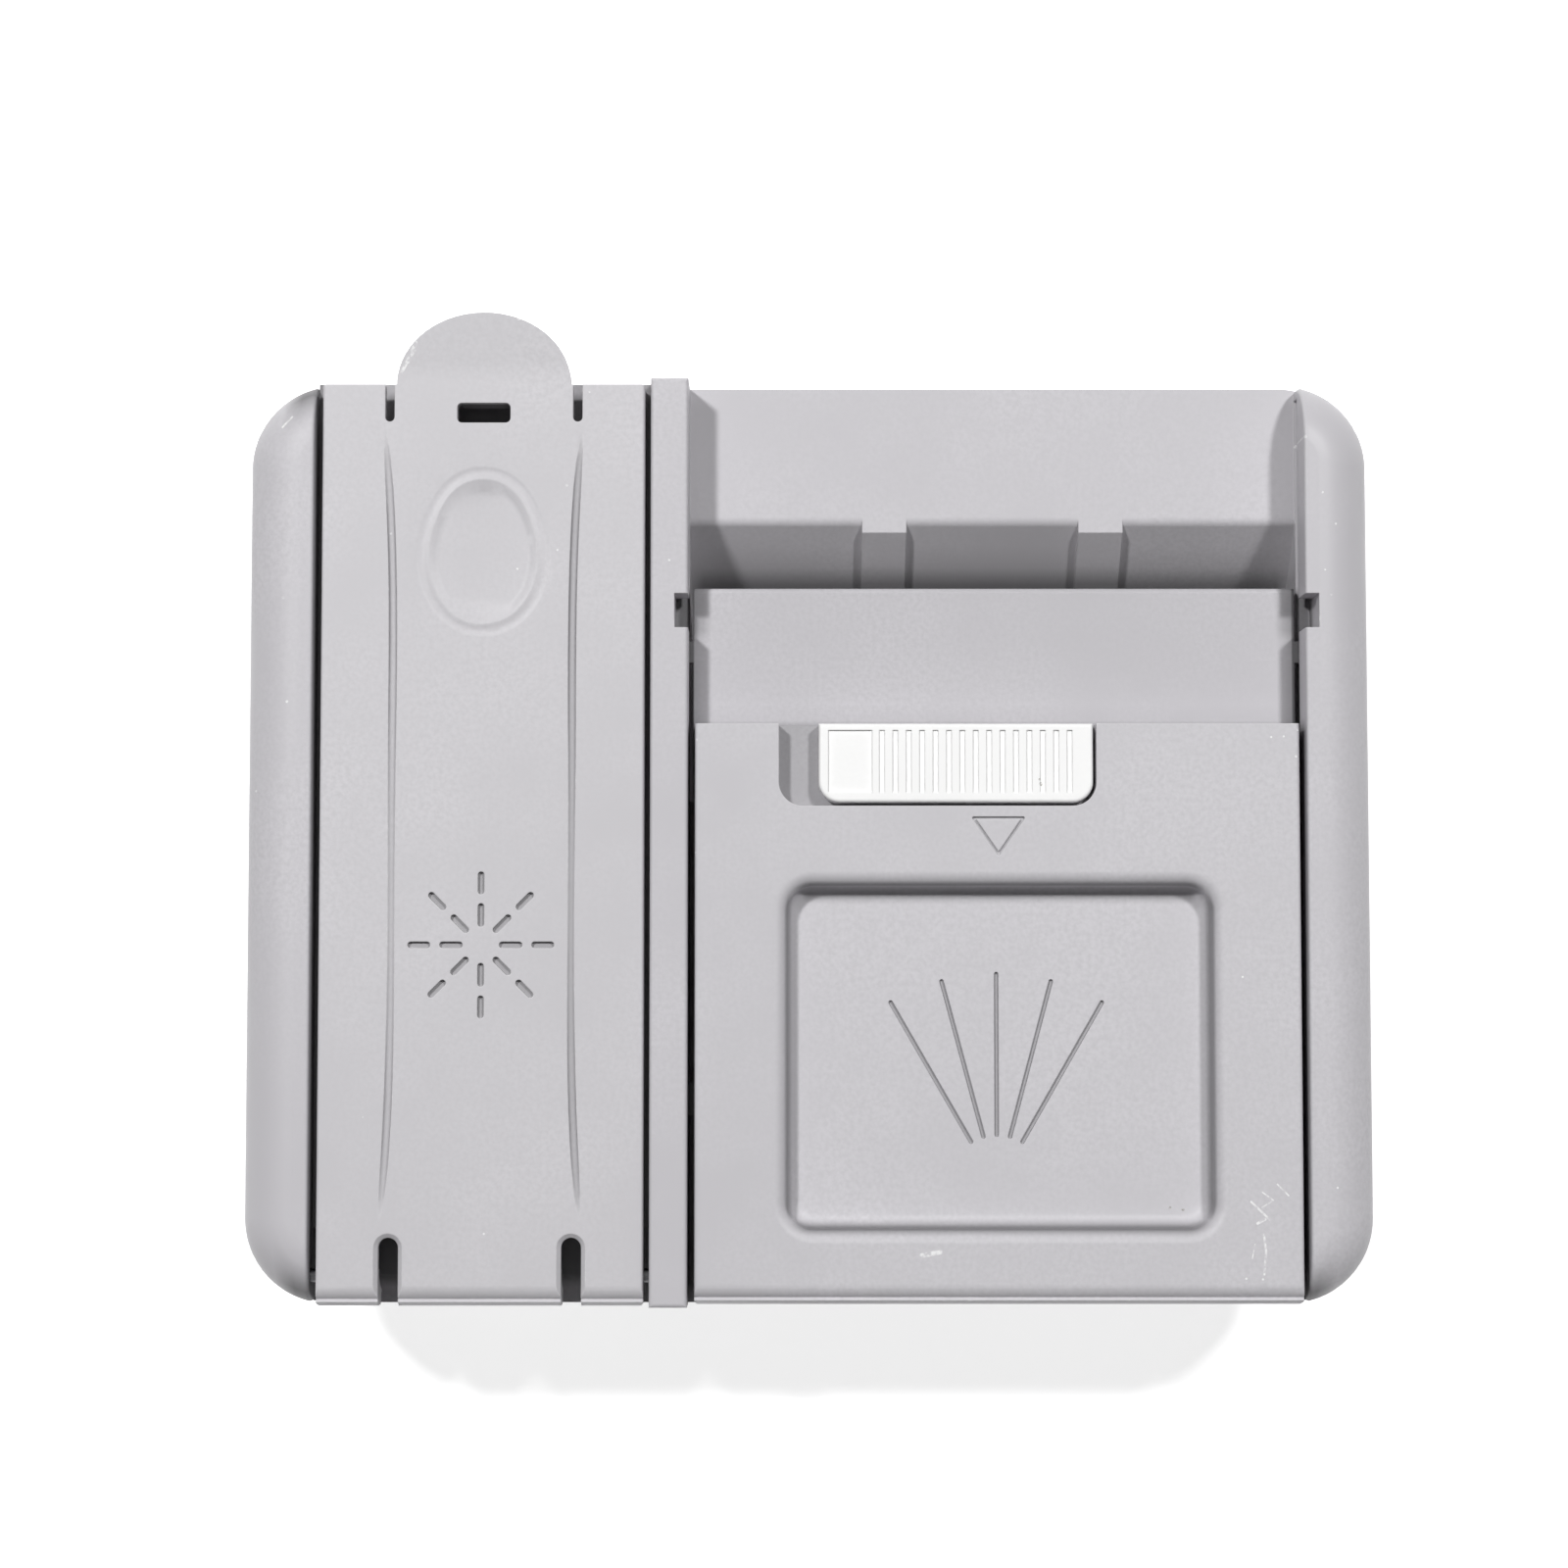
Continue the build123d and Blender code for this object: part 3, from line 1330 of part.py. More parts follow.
export_step(dosing_valve.part, "parts/dosing_valve.step")

with BuildPart() as dosing_stem:
    rod(stem_radius, valve_x, stem_tip, arm_bottom_z, valve_bottom - stem_tip + stem_depth, ALONG_Y)
    fillet(dosing_stem.faces().sort_by(Axis.Y)[0].edges(), stem_radius / 4)
dosing_stem.part.label = "dosing_stem"
export_step(dosing_stem.part, "parts/dosing_stem.step")

spring_start = foot_y + lever_arm_half + spring_end_gap + spring_wire / 2
spring_end = valve_bottom - spring_end_gap - spring_wire / 2
with BuildPart() as return_spring:
    with BuildLine():
        coil = Helix(
            (spring_end - spring_start) / spring_turns,
            spring_end - spring_start,
            spring_radius,
            center=(valve_x, spring_start, arm_bottom_z),
            direction=(0, 1, 0),
        )
    with BuildSketch(Plane(origin=coil @ 0, z_dir=coil % 0)):
        Rectangle(spring_wire, spring_wire)
    sweep(path=coil, is_frenet=True)
return_spring.part.label = "return_spring"
export_step(return_spring.part, "parts/return_spring.step")
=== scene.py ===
from math import cos, radians, sin

import bmesh
import bpy
from mathutils import Matrix, Vector


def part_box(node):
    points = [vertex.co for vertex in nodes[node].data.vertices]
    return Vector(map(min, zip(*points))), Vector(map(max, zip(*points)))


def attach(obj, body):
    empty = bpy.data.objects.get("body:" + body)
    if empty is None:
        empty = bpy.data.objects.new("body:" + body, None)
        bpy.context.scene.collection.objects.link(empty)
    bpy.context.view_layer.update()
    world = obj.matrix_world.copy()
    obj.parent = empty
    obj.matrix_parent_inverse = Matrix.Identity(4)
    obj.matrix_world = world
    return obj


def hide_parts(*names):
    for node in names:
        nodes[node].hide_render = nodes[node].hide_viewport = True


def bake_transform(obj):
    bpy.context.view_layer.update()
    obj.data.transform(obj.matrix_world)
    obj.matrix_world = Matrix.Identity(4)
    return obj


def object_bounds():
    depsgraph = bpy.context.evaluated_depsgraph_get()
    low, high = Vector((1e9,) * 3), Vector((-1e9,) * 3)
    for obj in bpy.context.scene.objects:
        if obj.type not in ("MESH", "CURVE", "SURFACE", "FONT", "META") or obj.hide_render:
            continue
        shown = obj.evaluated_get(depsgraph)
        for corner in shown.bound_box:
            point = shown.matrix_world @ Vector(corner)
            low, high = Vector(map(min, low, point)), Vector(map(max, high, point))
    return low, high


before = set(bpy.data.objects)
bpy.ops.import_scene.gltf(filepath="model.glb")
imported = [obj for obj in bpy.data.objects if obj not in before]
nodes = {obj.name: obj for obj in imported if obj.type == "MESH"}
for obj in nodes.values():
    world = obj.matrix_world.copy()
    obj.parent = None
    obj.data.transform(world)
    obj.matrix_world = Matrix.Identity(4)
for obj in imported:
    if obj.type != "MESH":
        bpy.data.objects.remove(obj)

cad_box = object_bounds()
scene = bpy.context.scene
MM = 0.001


def node_box(name):
    return [Vector(corner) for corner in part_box(name)]


# Places read from the frame, in metres
FACE_Z = node_box("lid_cover")[1].z
FLAP_LOW, FLAP_HIGH = node_box("rinse_aid_lid")
FLAP_X = (FLAP_LOW.x + FLAP_HIGH.x) / 2
FLOOR_Z = cad_box[0][2]

# Engraved signs, in metres and degrees
SIGN_DEPTH = 0.45 * MM
STAR_DEPTH = 0.7 * MM
STAR_Y = -15.4 * MM
STAR_SPOKES = 8
STAR_RINGS = ((3.1 * MM, 5.55 * MM), (7.8 * MM, 10.15 * MM))
STAR_STROKE = 0.95 * MM
POCKET_DEPTH = 5.4 * MM
POCKET_FLOOR_Z = FACE_Z - POCKET_DEPTH
SPRAY_X = 27.4 * MM
SPRAY_Y = -50.5 * MM
SPRAY_RADII = (7.5 * MM, 30.9 * MM)
SPRAY_ANGLES = (120.0, 105.0, 90.0, 75.0, 60.0)
SPRAY_STROKE = 0.62 * MM
ARROW_X = 27.5 * MM
ARROW_TOP = 3.0 * MM
ARROW_TIP = -2.2 * MM
ARROW_HALF = 3.6 * MM
ARROW_STROKE = 0.42 * MM
WELD = 1e-6
SMOOTH_ANGLE = 30.0

# Colours, linear
GREY = (0.575, 0.562, 0.588)
GREY_COVER = (0.584, 0.572, 0.597)
GREY_FLAP = (0.598, 0.586, 0.609)
# The carrier's grey is painted darker than the cover's, as shade on its sunken panel
CARRIER_GREY_SHADED = (0.51, 0.498, 0.522)
WHITE = (0.965, 0.965, 0.96)
CHIP = (0.92, 0.92, 0.92)
# Painted shade: the near-black colour that darkens gaps, recesses and hollows where shade falls
PAINTED_SHADE = (0.03, 0.029, 0.031)
STAIN = (0.17, 0.155, 0.10)

# Textures: scales in features for each metre, and the spans of noise that they use
CLOUD_SCALE = 35.0
SPECKLE_SCALE = 1500.0
NICK_SCALE = 420.0
BRUSH_SCALE = 1800.0
BROAD_DETAIL = 4.0
FULL_SPAN = (0.3, 0.7)
CLOUD_SPAN = (0.35, 0.65)
SPECKLE_SPAN = (0.36, 0.68)
NICK_SPAN = (0.60, 0.67)
NICK_SHARE = (0.3, 0.85)
BREAK_SPAN = (0.38, 0.58)
BREAK_SHARE = (0.0, 0.85)
LIGHTER_SHARE = 0.8
DULL_SHARE = 0.82

# Wear: rubbed heights, how far normals part beside an edge, and borders as shares of a mark's width
RUBBED_Z = (FACE_Z - 1.4 * MM, FACE_Z - 0.9 * MM)
EDGE_MATCH = (0.985, 0.90)
STROKE_BORDER = (0.55, 0.3)
DOT_BORDER = (0.55, 0.35)
SPECK_BORDER = (0.6, 0.4)
SPECK_SPACING = 7.0
SPECK_SIZE = 0.34
SPECK_CELLS = (0.78, 0.80)

# Shading of plastic and metal
BEVEL_SAMPLES = 6
PLASTIC_SPECULAR = 0.42
GRAIN_STRENGTH = 0.35
BRUSH_STRENGTH = 0.2
BRUSH_DEPTH = 0.01 * MM
TANK_SCATTER = 0.35
TANK_SCATTER_RADIUS = (0.004, 0.004, 0.0035)


# Node tree helpers
def new_material(name):
    material = bpy.data.materials.new(name)
    material.use_nodes = True
    tree = material.node_tree
    return material, tree, tree.nodes["Principled BSDF"]


def add_node(tree, kind, **values):
    node = tree.nodes.new(kind)
    for key, value in values.items():
        setattr(node, key, value)
    return node


def noise(tree, coords, scale, detail=3.0, roughness=0.55):
    node = add_node(tree, "ShaderNodeTexNoise")
    node.inputs["Scale"].default_value = scale
    node.inputs["Detail"].default_value = detail
    node.inputs["Roughness"].default_value = roughness
    tree.links.new(coords, node.inputs["Vector"])
    return node.outputs["Fac"]


def ramp(tree, value, low, high, low_out=0.0, high_out=1.0):
    node = add_node(tree, "ShaderNodeMapRange")
    node.inputs["From Min"].default_value = low
    node.inputs["From Max"].default_value = high
    node.inputs["To Min"].default_value = low_out
    node.inputs["To Max"].default_value = high_out
    tree.links.new(value, node.inputs["Value"])
    return node.outputs["Result"]


def blend_colour(tree, factor, first, second):
    node = add_node(tree, "ShaderNodeMix", data_type="RGBA")
    tree.links.new(factor, node.inputs["Factor"])
    for socket, value in (("A", first), ("B", second)):
        target = [s for s in node.inputs if s.name == socket and s.type == "RGBA"][0]
        if isinstance(value, tuple):
            target.default_value = (*value, 1.0)
        else:
            tree.links.new(value, target)
    return [s for s in node.outputs if s.type == "RGBA"][0]


def combine(tree, operation, first, second):
    node = add_node(tree, "ShaderNodeMath", operation=operation)
    for socket, value in zip(node.inputs, (first, second)):
        if isinstance(value, (int, float)):
            socket.default_value = value
        else:
            tree.links.new(value, socket)
    return node.outputs["Value"]


def multiply(tree, first, second):
    return combine(tree, "MULTIPLY", first, second)


def vector_math(tree, operation, first, second):
    node = add_node(tree, "ShaderNodeVectorMath", operation=operation)
    for socket, value in zip(node.inputs, (first, second)):
        if isinstance(value, tuple):
            socket.default_value = value
        else:
            tree.links.new(value, socket)
    return node


def split_axes(tree, coords):
    axes = add_node(tree, "ShaderNodeSeparateXYZ")
    tree.links.new(coords, axes.inputs["Vector"])
    return axes.outputs


# Masks
def edge_mask(tree, rounded):
    """Where the rounded normal leaves the true one, which is beside an edge."""
    geometry = add_node(tree, "ShaderNodeNewGeometry")
    match = vector_math(tree, "DOT_PRODUCT", rounded, geometry.outputs["Normal"])
    return ramp(tree, match.outputs["Value"], *EDGE_MATCH)


def border_ramp(tree, gap, width, border):
    """One within a mark, falling to nought over its border."""
    outer, inner = border
    return ramp(tree, gap, width * MM * outer, width * MM * inner)


def stroke_mask(tree, flat, start, end, width):
    """Straight scratch seen from the front, from start to end in millimetres."""
    start, end = Vector((*start, 0.0)) * MM, Vector((*end, 0.0)) * MM
    along = end - start
    scaled = tuple(along / along.length_squared)
    offset = vector_math(tree, "SUBTRACT", flat, tuple(start)).outputs["Vector"]
    reach = vector_math(tree, "DOT_PRODUCT", offset, scaled).outputs["Value"]
    nearest = add_node(tree, "ShaderNodeVectorMath", operation="SCALE")
    nearest.inputs[0].default_value = tuple(along)
    tree.links.new(ramp(tree, reach, 0.0, 1.0), nearest.inputs["Scale"])
    gap = vector_math(tree, "DISTANCE", offset, nearest.outputs["Vector"]).outputs["Value"]
    return border_ramp(tree, gap, width, STROKE_BORDER)


def dot_mask(tree, flat, place, width):
    """Round dot seen from the front, at a place in millimetres."""
    centre = tuple(Vector((*place, 0.0)) * MM)
    gap = vector_math(tree, "DISTANCE", flat, centre).outputs["Value"]
    return border_ramp(tree, gap, width, DOT_BORDER)


def marks_mask(tree, coords, strokes, dots):
    """All the scratches and dots of one piece, broken up a little along their length."""
    flat = vector_math(tree, "MULTIPLY", coords, (1.0, 1.0, 0.0)).outputs["Vector"]
    masks = [stroke_mask(tree, flat, *stroke) for stroke in strokes]
    masks += [dot_mask(tree, flat, *dot) for dot in dots]
    total = masks[0]
    for mask in masks[1:]:
        total = combine(tree, "MAXIMUM", total, mask)
    broken = ramp(tree, noise(tree, coords, SPECKLE_SCALE), *BREAK_SPAN, *BREAK_SHARE)
    return multiply(tree, total, broken)


def specks_mask(tree, coords):
    """Sparse pin-head specks: one cell in five carries a dot."""
    cells = add_node(tree, "ShaderNodeTexVoronoi")
    cells.inputs["Scale"].default_value = 1.0 / (SPECK_SPACING * MM)
    tree.links.new(coords, cells.inputs["Vector"])
    outer, inner = (SPECK_SIZE / SPECK_SPACING * share for share in SPECK_BORDER)
    dot = ramp(tree, cells.outputs["Distance"], outer, inner)
    parts = add_node(tree, "ShaderNodeSeparateColor")
    tree.links.new(cells.outputs["Color"], parts.inputs["Color"])
    return multiply(tree, dot, ramp(tree, parts.outputs["Red"], *SPECK_CELLS))


def box_mask(tree, coords, box, soft, strength):
    """One inside a box given in millimetres, falling to nought over its soft border."""
    mask = None
    for value, (low, high) in zip(split_axes(tree, coords), box):
        rise = ramp(tree, value, (low - soft) * MM, (low + soft) * MM)
        fall = ramp(tree, value, (high + soft) * MM, (high - soft) * MM)
        side = multiply(tree, rise, fall)
        mask = multiply(tree, mask, side) if mask else multiply(tree, side, strength)
    return mask


# Moulded plastic: cloudy colour, fine grain, rounded edges, rubbed edges, scratches and specks, and
# painted shade in boxes
def plastic(
    name,
    colour,
    mottle=0.06,
    grain=0.012,
    grain_scale=2600.0,
    rough=(0.42, 0.55),
    worn=None,
    bevel=0.25,
    strokes=(),
    dots=(),
    painted_shade_boxes=(),
    stains=(),
):
    material, tree, shader = new_material(name)
    coords = add_node(tree, "ShaderNodeTexCoord").outputs["Object"]
    rounded = add_node(tree, "ShaderNodeBevel", samples=BEVEL_SAMPLES)
    rounded.inputs["Radius"].default_value = bevel * MM
    normal = rounded.outputs["Normal"]
    cloud = noise(tree, coords, CLOUD_SCALE, BROAD_DETAIL)
    darker = tuple(c * (1.0 - mottle) for c in colour)
    lighter = tuple(min(1.0, c * (1.0 + LIGHTER_SHARE * mottle)) for c in colour)
    tint = blend_colour(tree, ramp(tree, cloud, *CLOUD_SPAN), darker, lighter)
    speckle = noise(tree, coords, SPECKLE_SCALE)
    tint = blend_colour(tree, ramp(tree, speckle, *SPECKLE_SPAN), tint, darker)
    if worn:
        height = ramp(tree, split_axes(tree, coords)["Z"], *RUBBED_Z)
        edge = multiply(tree, edge_mask(tree, normal), height)
        nicks = ramp(tree, noise(tree, coords, NICK_SCALE), *NICK_SPAN, *NICK_SHARE)
        tint = blend_colour(tree, multiply(tree, edge, nicks), tint, worn)
        tint = blend_colour(tree, specks_mask(tree, coords), tint, worn)
    if strokes or dots:
        tint = blend_colour(tree, marks_mask(tree, coords, strokes, dots), tint, worn)
    if stains:
        tint = blend_colour(tree, marks_mask(tree, coords, (), stains), tint, STAIN)
    # Painted shade: each box darkens the colour where shade falls in gaps, recesses and hollows
    for box, soft, strength in painted_shade_boxes:
        tint = blend_colour(tree, box_mask(tree, coords, box, soft, strength), tint, PAINTED_SHADE)
    tree.links.new(tint, shader.inputs["Base Color"])
    tree.links.new(ramp(tree, cloud, *FULL_SPAN, *rough), shader.inputs["Roughness"])
    shader.inputs["Specular IOR Level"].default_value = PLASTIC_SPECULAR
    bump = add_node(tree, "ShaderNodeBump")
    bump.inputs["Strength"].default_value = GRAIN_STRENGTH
    bump.inputs["Distance"].default_value = grain * MM
    tree.links.new(noise(tree, coords, grain_scale), bump.inputs["Height"])
    tree.links.new(normal, bump.inputs["Normal"])
    tree.links.new(bump.outputs["Normal"], shader.inputs["Normal"])
    return material


def rubber(name, colour):
    return plastic(name, colour, grain=0.03, grain_scale=1500.0, rough=(0.62, 0.8), bevel=0.2)


# Bare metal, brushed along the axis with the small stretch
def metal(name, colour, rough=(0.22, 0.38), stretch=(1.0, 1.0, 1.0)):
    material, tree, shader = new_material(name)
    coords = add_node(tree, "ShaderNodeTexCoord").outputs["Object"]
    mapping = add_node(tree, "ShaderNodeMapping")
    mapping.inputs["Scale"].default_value = stretch
    tree.links.new(coords, mapping.inputs["Vector"])
    brushed = noise(tree, mapping.outputs["Vector"], BRUSH_SCALE, BROAD_DETAIL)
    dull = tuple(c * DULL_SHARE for c in colour)
    tint = blend_colour(tree, ramp(tree, brushed, *FULL_SPAN), dull, colour)
    tree.links.new(tint, shader.inputs["Base Color"])
    tree.links.new(ramp(tree, brushed, *FULL_SPAN, *rough), shader.inputs["Roughness"])
    shader.inputs["Metallic"].default_value = 1.0
    bump = add_node(tree, "ShaderNodeBump")
    bump.inputs["Strength"].default_value = BRUSH_STRENGTH
    bump.inputs["Distance"].default_value = BRUSH_DEPTH
    tree.links.new(brushed, bump.inputs["Height"])
    tree.links.new(bump.outputs["Normal"], shader.inputs["Normal"])
    return material


def translucent_plastic(name, colour):
    material = plastic(name, colour, grain=0.008, rough=(0.32, 0.46))
    shader = material.node_tree.nodes["Principled BSDF"]
    shader.inputs["Subsurface Weight"].default_value = TANK_SCATTER
    shader.inputs["Subsurface Radius"].default_value = TANK_SCATTER_RADIUS
    return material


# Scratches (start, end, width) and dots (place, width) seen in the photograph, in millimetres
COVER_STROKES = (
    ((67.5, -49.9), (69.1, -51.5), 0.26),
    ((65.3, -51.0), (66.9, -52.2), 0.25),
    ((66.9, -52.2), (65.3, -53.2), 0.25),
    ((63.7, -52.4), (66.4, -55.0), 0.36),
    ((64.6, -55.5), (65.7, -54.9), 0.45),
    ((65.5, -57.1), (65.8, -59.5), 0.36),
    ((65.8, -59.5), (65.5, -62.8), 0.36),
    ((64.2, -58.5), (63.8, -60.5), 0.2),
    ((16.2, -60.1), (18.8, -59.6), 0.8),
)
COVER_DOTS = (
    ((62.9, -63.4), 0.36),
    ((65.3, -63.5), 0.36),
    ((-16.4, 14.4), 0.45),
    ((-16.6, -2.0), 0.42),
    ((71.1, 15.9), 0.45),
    ((70.9, 13.7), 0.4),
    ((70.8, 12.0), 0.4),
    ((69.0, 14.9), 0.36),
    ((67.2, 14.8), 0.36),
)
COVER_STAINS = (((52.6, -53.6), 0.5), ((54.5, -53.8), 0.5))
LATCH_STAINS = (((33.7, 8.0), 0.6), ((33.5, 8.6), 0.4))
FLAP_STROKES = (
    ((-59.6, 68.4), (-57.6, 72.8), 0.55),
    ((-58.7, 69.8), (-57.7, 71.7), 0.3),
    ((-42.6, 76.3), (-41.8, 76.4), 0.36),
)
FLAP_DOTS = (
    ((-32.1, 65.5), 0.36),
    ((-35.4, 51.7), 0.42),
    ((-61.1, 44.7), 0.42),
    ((-36.7, 42.2), 0.36),
    ((-42.6, 39.5), 0.36),
    ((-46.9, -57.0), 0.36),
)
HOUSING_STROKES = (((-77.2, 60.5), (-75.8, 62.0), 0.36),)
HOUSING_DOTS = (
    ((72.6, 58.9), 0.55),
    ((75.0, 50.7), 0.42),
    ((77.0, 46.1), 0.36),
    ((75.3, 39.3), 0.3),
    ((76.2, 35.7), 0.36),
    ((76.2, -50.4), 0.36),
    ((-20.4, 40.7), 0.36),
    ((-76.7, 35.2), 0.42),
    ((-76.0, 20.0), 0.45),
    ((-80.8, 7.1), 0.36),
)

# Painted shade in the tables below, a darker colour where shade falls in gaps, recesses, hollows
# and engraved signs: box in millimetres along X, Y and Z, soft border in millimetres, strength
LENGTH = (-78.0, 72.0)
LID_LENGTH = (-78.0, 16.5)
GROOVE_LENGTH = (16.0, 37.0)
TAB_SLOTS = (61.4, 65.8)
POCKET_LENGTH = (-58.5, -5.5)
CARRIER_LENGTH = (-75.0, 40.0)
STEP_LENGTH = (10.0, 40.0)
STEP_CORNER = (30.5, 40.0)
STEP_DEPTH = (5.0, 14.0)
DEEP = (3.0, 12.2)
LID_DEEP = (3.0, 11.6)
# Painted shade on the housing: its gaps, slots, the depth of the chamber and the line above the lid
HOUSING_PAINTED_SHADE = (
    (((-76.0, -70.9), LENGTH, DEEP), 1.4, 0.75),  # gap left of the flap
    (((-24.6, -21.0), LENGTH, DEEP), 1.4, 0.75),  # gap right of the flap
    (((-20.0, -16.2), LID_LENGTH, DEEP), 1.4, 0.75),  # gap left of the lid
    (((71.0, 75.0), LID_LENGTH, DEEP), 1.4, 0.75),  # gap right of the lid
    (((-20.0, -16.4), GROOVE_LENGTH, (3.0, 7.0)), 1.0, 0.75),  # left groove above the lid
    (((71.2, 75.0), GROOVE_LENGTH, (3.0, 7.0)), 1.0, 0.75),  # right groove above the lid
    (((-66.0, -29.0), (-64.4, -56.0), (2.0, 8.5)), 1.0, 0.8),  # below the hinge slots
    (((-53.0, -42.5), TAB_SLOTS, (-2.0, 9.0)), 0.8, 0.7),  # below the flap's window
    (((-62.6, -60.2), TAB_SLOTS, (-2.0, 9.0)), 0.8, 0.7),  # below the slot left of the tab
    (((-35.3, -32.9), TAB_SLOTS, (-2.0, 9.0)), 0.8, 0.7),  # below the slot right of the tab
    (((-17.0, 72.0), (4.0, 46.0), (-40.0, -3.0)), 4.0, 0.4),  # depth of the chamber
    (((-17.0, 72.0), (37.6, 40.5), (-8.0, 4.0)), 1.2, 0.55),  # line left above the lid
)
# Painted shade on the flap: its sides, slots, engraved star and creases, and a little on the finger
# tab
FLAP_PAINTED_SHADE = (
    (((-76.0, -70.9), LENGTH, LID_DEEP), 1.2, 0.5),  # left side
    (((-24.3, -20.0), LENGTH, LID_DEEP), 1.2, 0.5),  # right side
    (((-52.0, -43.0), (63.4, 68.0), (0.0, 12.7)), 0.5, 0.8),  # window
    (((-62.9, -59.9), (61.0, 67.0), (0.0, 12.7)), 0.5, 0.8),  # slot left of the tab
    (((-35.3, -32.3), (61.0, 67.0), (0.0, 12.7)), 0.5, 0.8),  # slot right of the tab
    (((-62.3, -59.2), (-68.0, -57.2), (0.0, 12.3)), 0.5, 0.8),  # left hinge slot
    (((-35.9, -32.8), (-68.0, -57.2), (0.0, 12.3)), 0.5, 0.8),  # right hinge slot
    (((-59.5, -36.0), (-27.0, -3.8), (12.5, 13.76)), 0.07, 0.42),  # star
    (((-63.0, -59.0), (-56.0, 60.0), (13.0, 13.76)), 0.08, 0.22),  # left crease
    (((-36.6, -32.6), (-56.0, 60.0), (13.0, 13.76)), 0.08, 0.34),  # right crease
    (((-66.0, -29.0), (68.5, 82.0), (5.0, 16.0)), 1.6, 0.1),  # finger tab
)
# Painted shade on the cover: its sides, the latch's recess, the engraved signs and the pocket's
# walls
COVER_PAINTED_SHADE = (
    (((-20.0, -16.2), LID_LENGTH, LID_DEEP), 1.2, 0.5),  # left side
    (((71.0, 75.0), LID_LENGTH, LID_DEEP), 1.2, 0.5),  # right side
    (((-4.6, 42.0), (4.6, 18.0), (9.0, 10.6)), 0.3, 0.4),  # floor of the latch's recess
    (((6.0, 49.0), (-47.0, -16.0), (7.7, 8.42)), 0.05, 0.4),  # spray sign
    (((22.0, 33.0), (-3.2, 4.2), (13.0, 13.78)), 0.06, 0.2),  # arrow
    (((-6.0, -2.75), POCKET_LENGTH, (8.9, 12.7)), 0.4, 0.52),  # left wall of the pocket
    (((58.1, 62.0), POCKET_LENGTH, (8.9, 12.7)), 0.4, 0.52),  # right wall of the pocket
    (((-2.0, 57.5), (-7.2, -5.4), (10.8, 13.0)), 0.4, 0.4),  # upper wall of the pocket
    (((-0.6, 56.4), (-8.9, -7.9), (7.5, 9.3)), 0.5, 0.36),  # floor below that wall
    (((-3.0, 58.6), (-60.0, -55.8), (8.8, 12.9)), 0.7, 0.7),  # lower wall of the pocket
)
# Painted shade on the carrier: its ends, the borders and corners of its step, and the line beside
# the cover
CARRIER_PAINTED_SHADE = (
    (((-20.0, -16.95), CARRIER_LENGTH, (-8.0, 14.0)), 0.12, 0.8),  # left end
    (((71.4, 75.0), CARRIER_LENGTH, (-8.0, 14.0)), 0.12, 0.8),  # right end
    (((-20.0, -15.6), STEP_LENGTH, STEP_DEPTH), 1.1, 0.28),  # left border of the step
    (((70.2, 75.0), STEP_LENGTH, STEP_DEPTH), 1.1, 0.42),  # right border of the step
    (((-20.0, -14.9), STEP_CORNER, STEP_DEPTH), 0.7, 0.25),  # upper left corner
    (((69.5, 75.0), STEP_CORNER, STEP_DEPTH), 0.7, 0.25),  # upper right corner
    (((-20.0, 75.0), (10.0, 17.2), STEP_DEPTH), 0.6, 0.5),  # line beside the cover
    (((-20.0, 75.0), (10.0, 18.2), STEP_DEPTH), 2.0, 0.18),  # soft shade above that line
)

housing_plastic = plastic(
    "housing_plastic",
    GREY,
    worn=CHIP,
    strokes=HOUSING_STROKES,
    dots=HOUSING_DOTS,
    painted_shade_boxes=HOUSING_PAINTED_SHADE,
)
flap_plastic = plastic(
    "flap_plastic",
    GREY_FLAP,
    worn=CHIP,
    strokes=FLAP_STROKES,
    dots=FLAP_DOTS,
    painted_shade_boxes=FLAP_PAINTED_SHADE,
)
carrier_plastic = plastic("carrier_plastic", CARRIER_GREY_SHADED, painted_shade_boxes=CARRIER_PAINTED_SHADE)
cover_plastic = plastic(
    "cover_plastic",
    GREY_COVER,
    worn=CHIP,
    strokes=COVER_STROKES,
    dots=COVER_DOTS,
    painted_shade_boxes=COVER_PAINTED_SHADE,
    stains=COVER_STAINS,
)
latch_plastic = plastic(
    "latch_plastic", WHITE, mottle=0.015, grain=0.006, rough=(0.28, 0.4), stains=LATCH_STAINS
)
tank_plastic = translucent_plastic("tank_plastic", (0.78, 0.79, 0.77))
gasket_rubber = rubber("gasket_rubber", (0.045, 0.045, 0.048))
seal_rubber = rubber("seal_rubber", (0.30, 0.09, 0.07))
# The pins' steel is painted near black as shade, so that the pin ends in the gaps beside the flap
# read dark
pin_steel = metal("pin_steel", (0.10, 0.10, 0.105), stretch=(0.05, 1.0, 1.0))
spring_steel = metal("spring_steel", (0.58, 0.58, 0.60))
screw_steel = metal("screw_steel", (0.64, 0.63, 0.60))
terminal_brass = metal("terminal_brass", (0.74, 0.64, 0.42), stretch=(0.1, 1.0, 1.0))
dial_plastic = plastic("dial_plastic", (0.06, 0.13, 0.27), rough=(0.3, 0.42))
float_plastic = plastic(
    "float_plastic", (0.82, 0.80, 0.74), grain=0.03, grain_scale=1200.0, rough=(0.55, 0.7)
)
magnet_ferrite = plastic("magnet_ferrite", (0.03, 0.03, 0.035), rough=(0.5, 0.7))
sensor_plastic = plastic("sensor_plastic", (0.022, 0.022, 0.025), rough=(0.35, 0.5))
lever_plastic = plastic("lever_plastic", (0.80, 0.79, 0.74), grain=0.008, rough=(0.35, 0.46))
actuator_plastic = plastic("actuator_plastic", (0.028, 0.030, 0.036), grain=0.02, rough=(0.45, 0.6))
natural_acetal = plastic("natural_acetal", (0.85, 0.84, 0.80), grain=0.005, rough=(0.26, 0.36))
valve_plastic = plastic("valve_plastic", (0.60, 0.61, 0.62), rough=(0.4, 0.52))

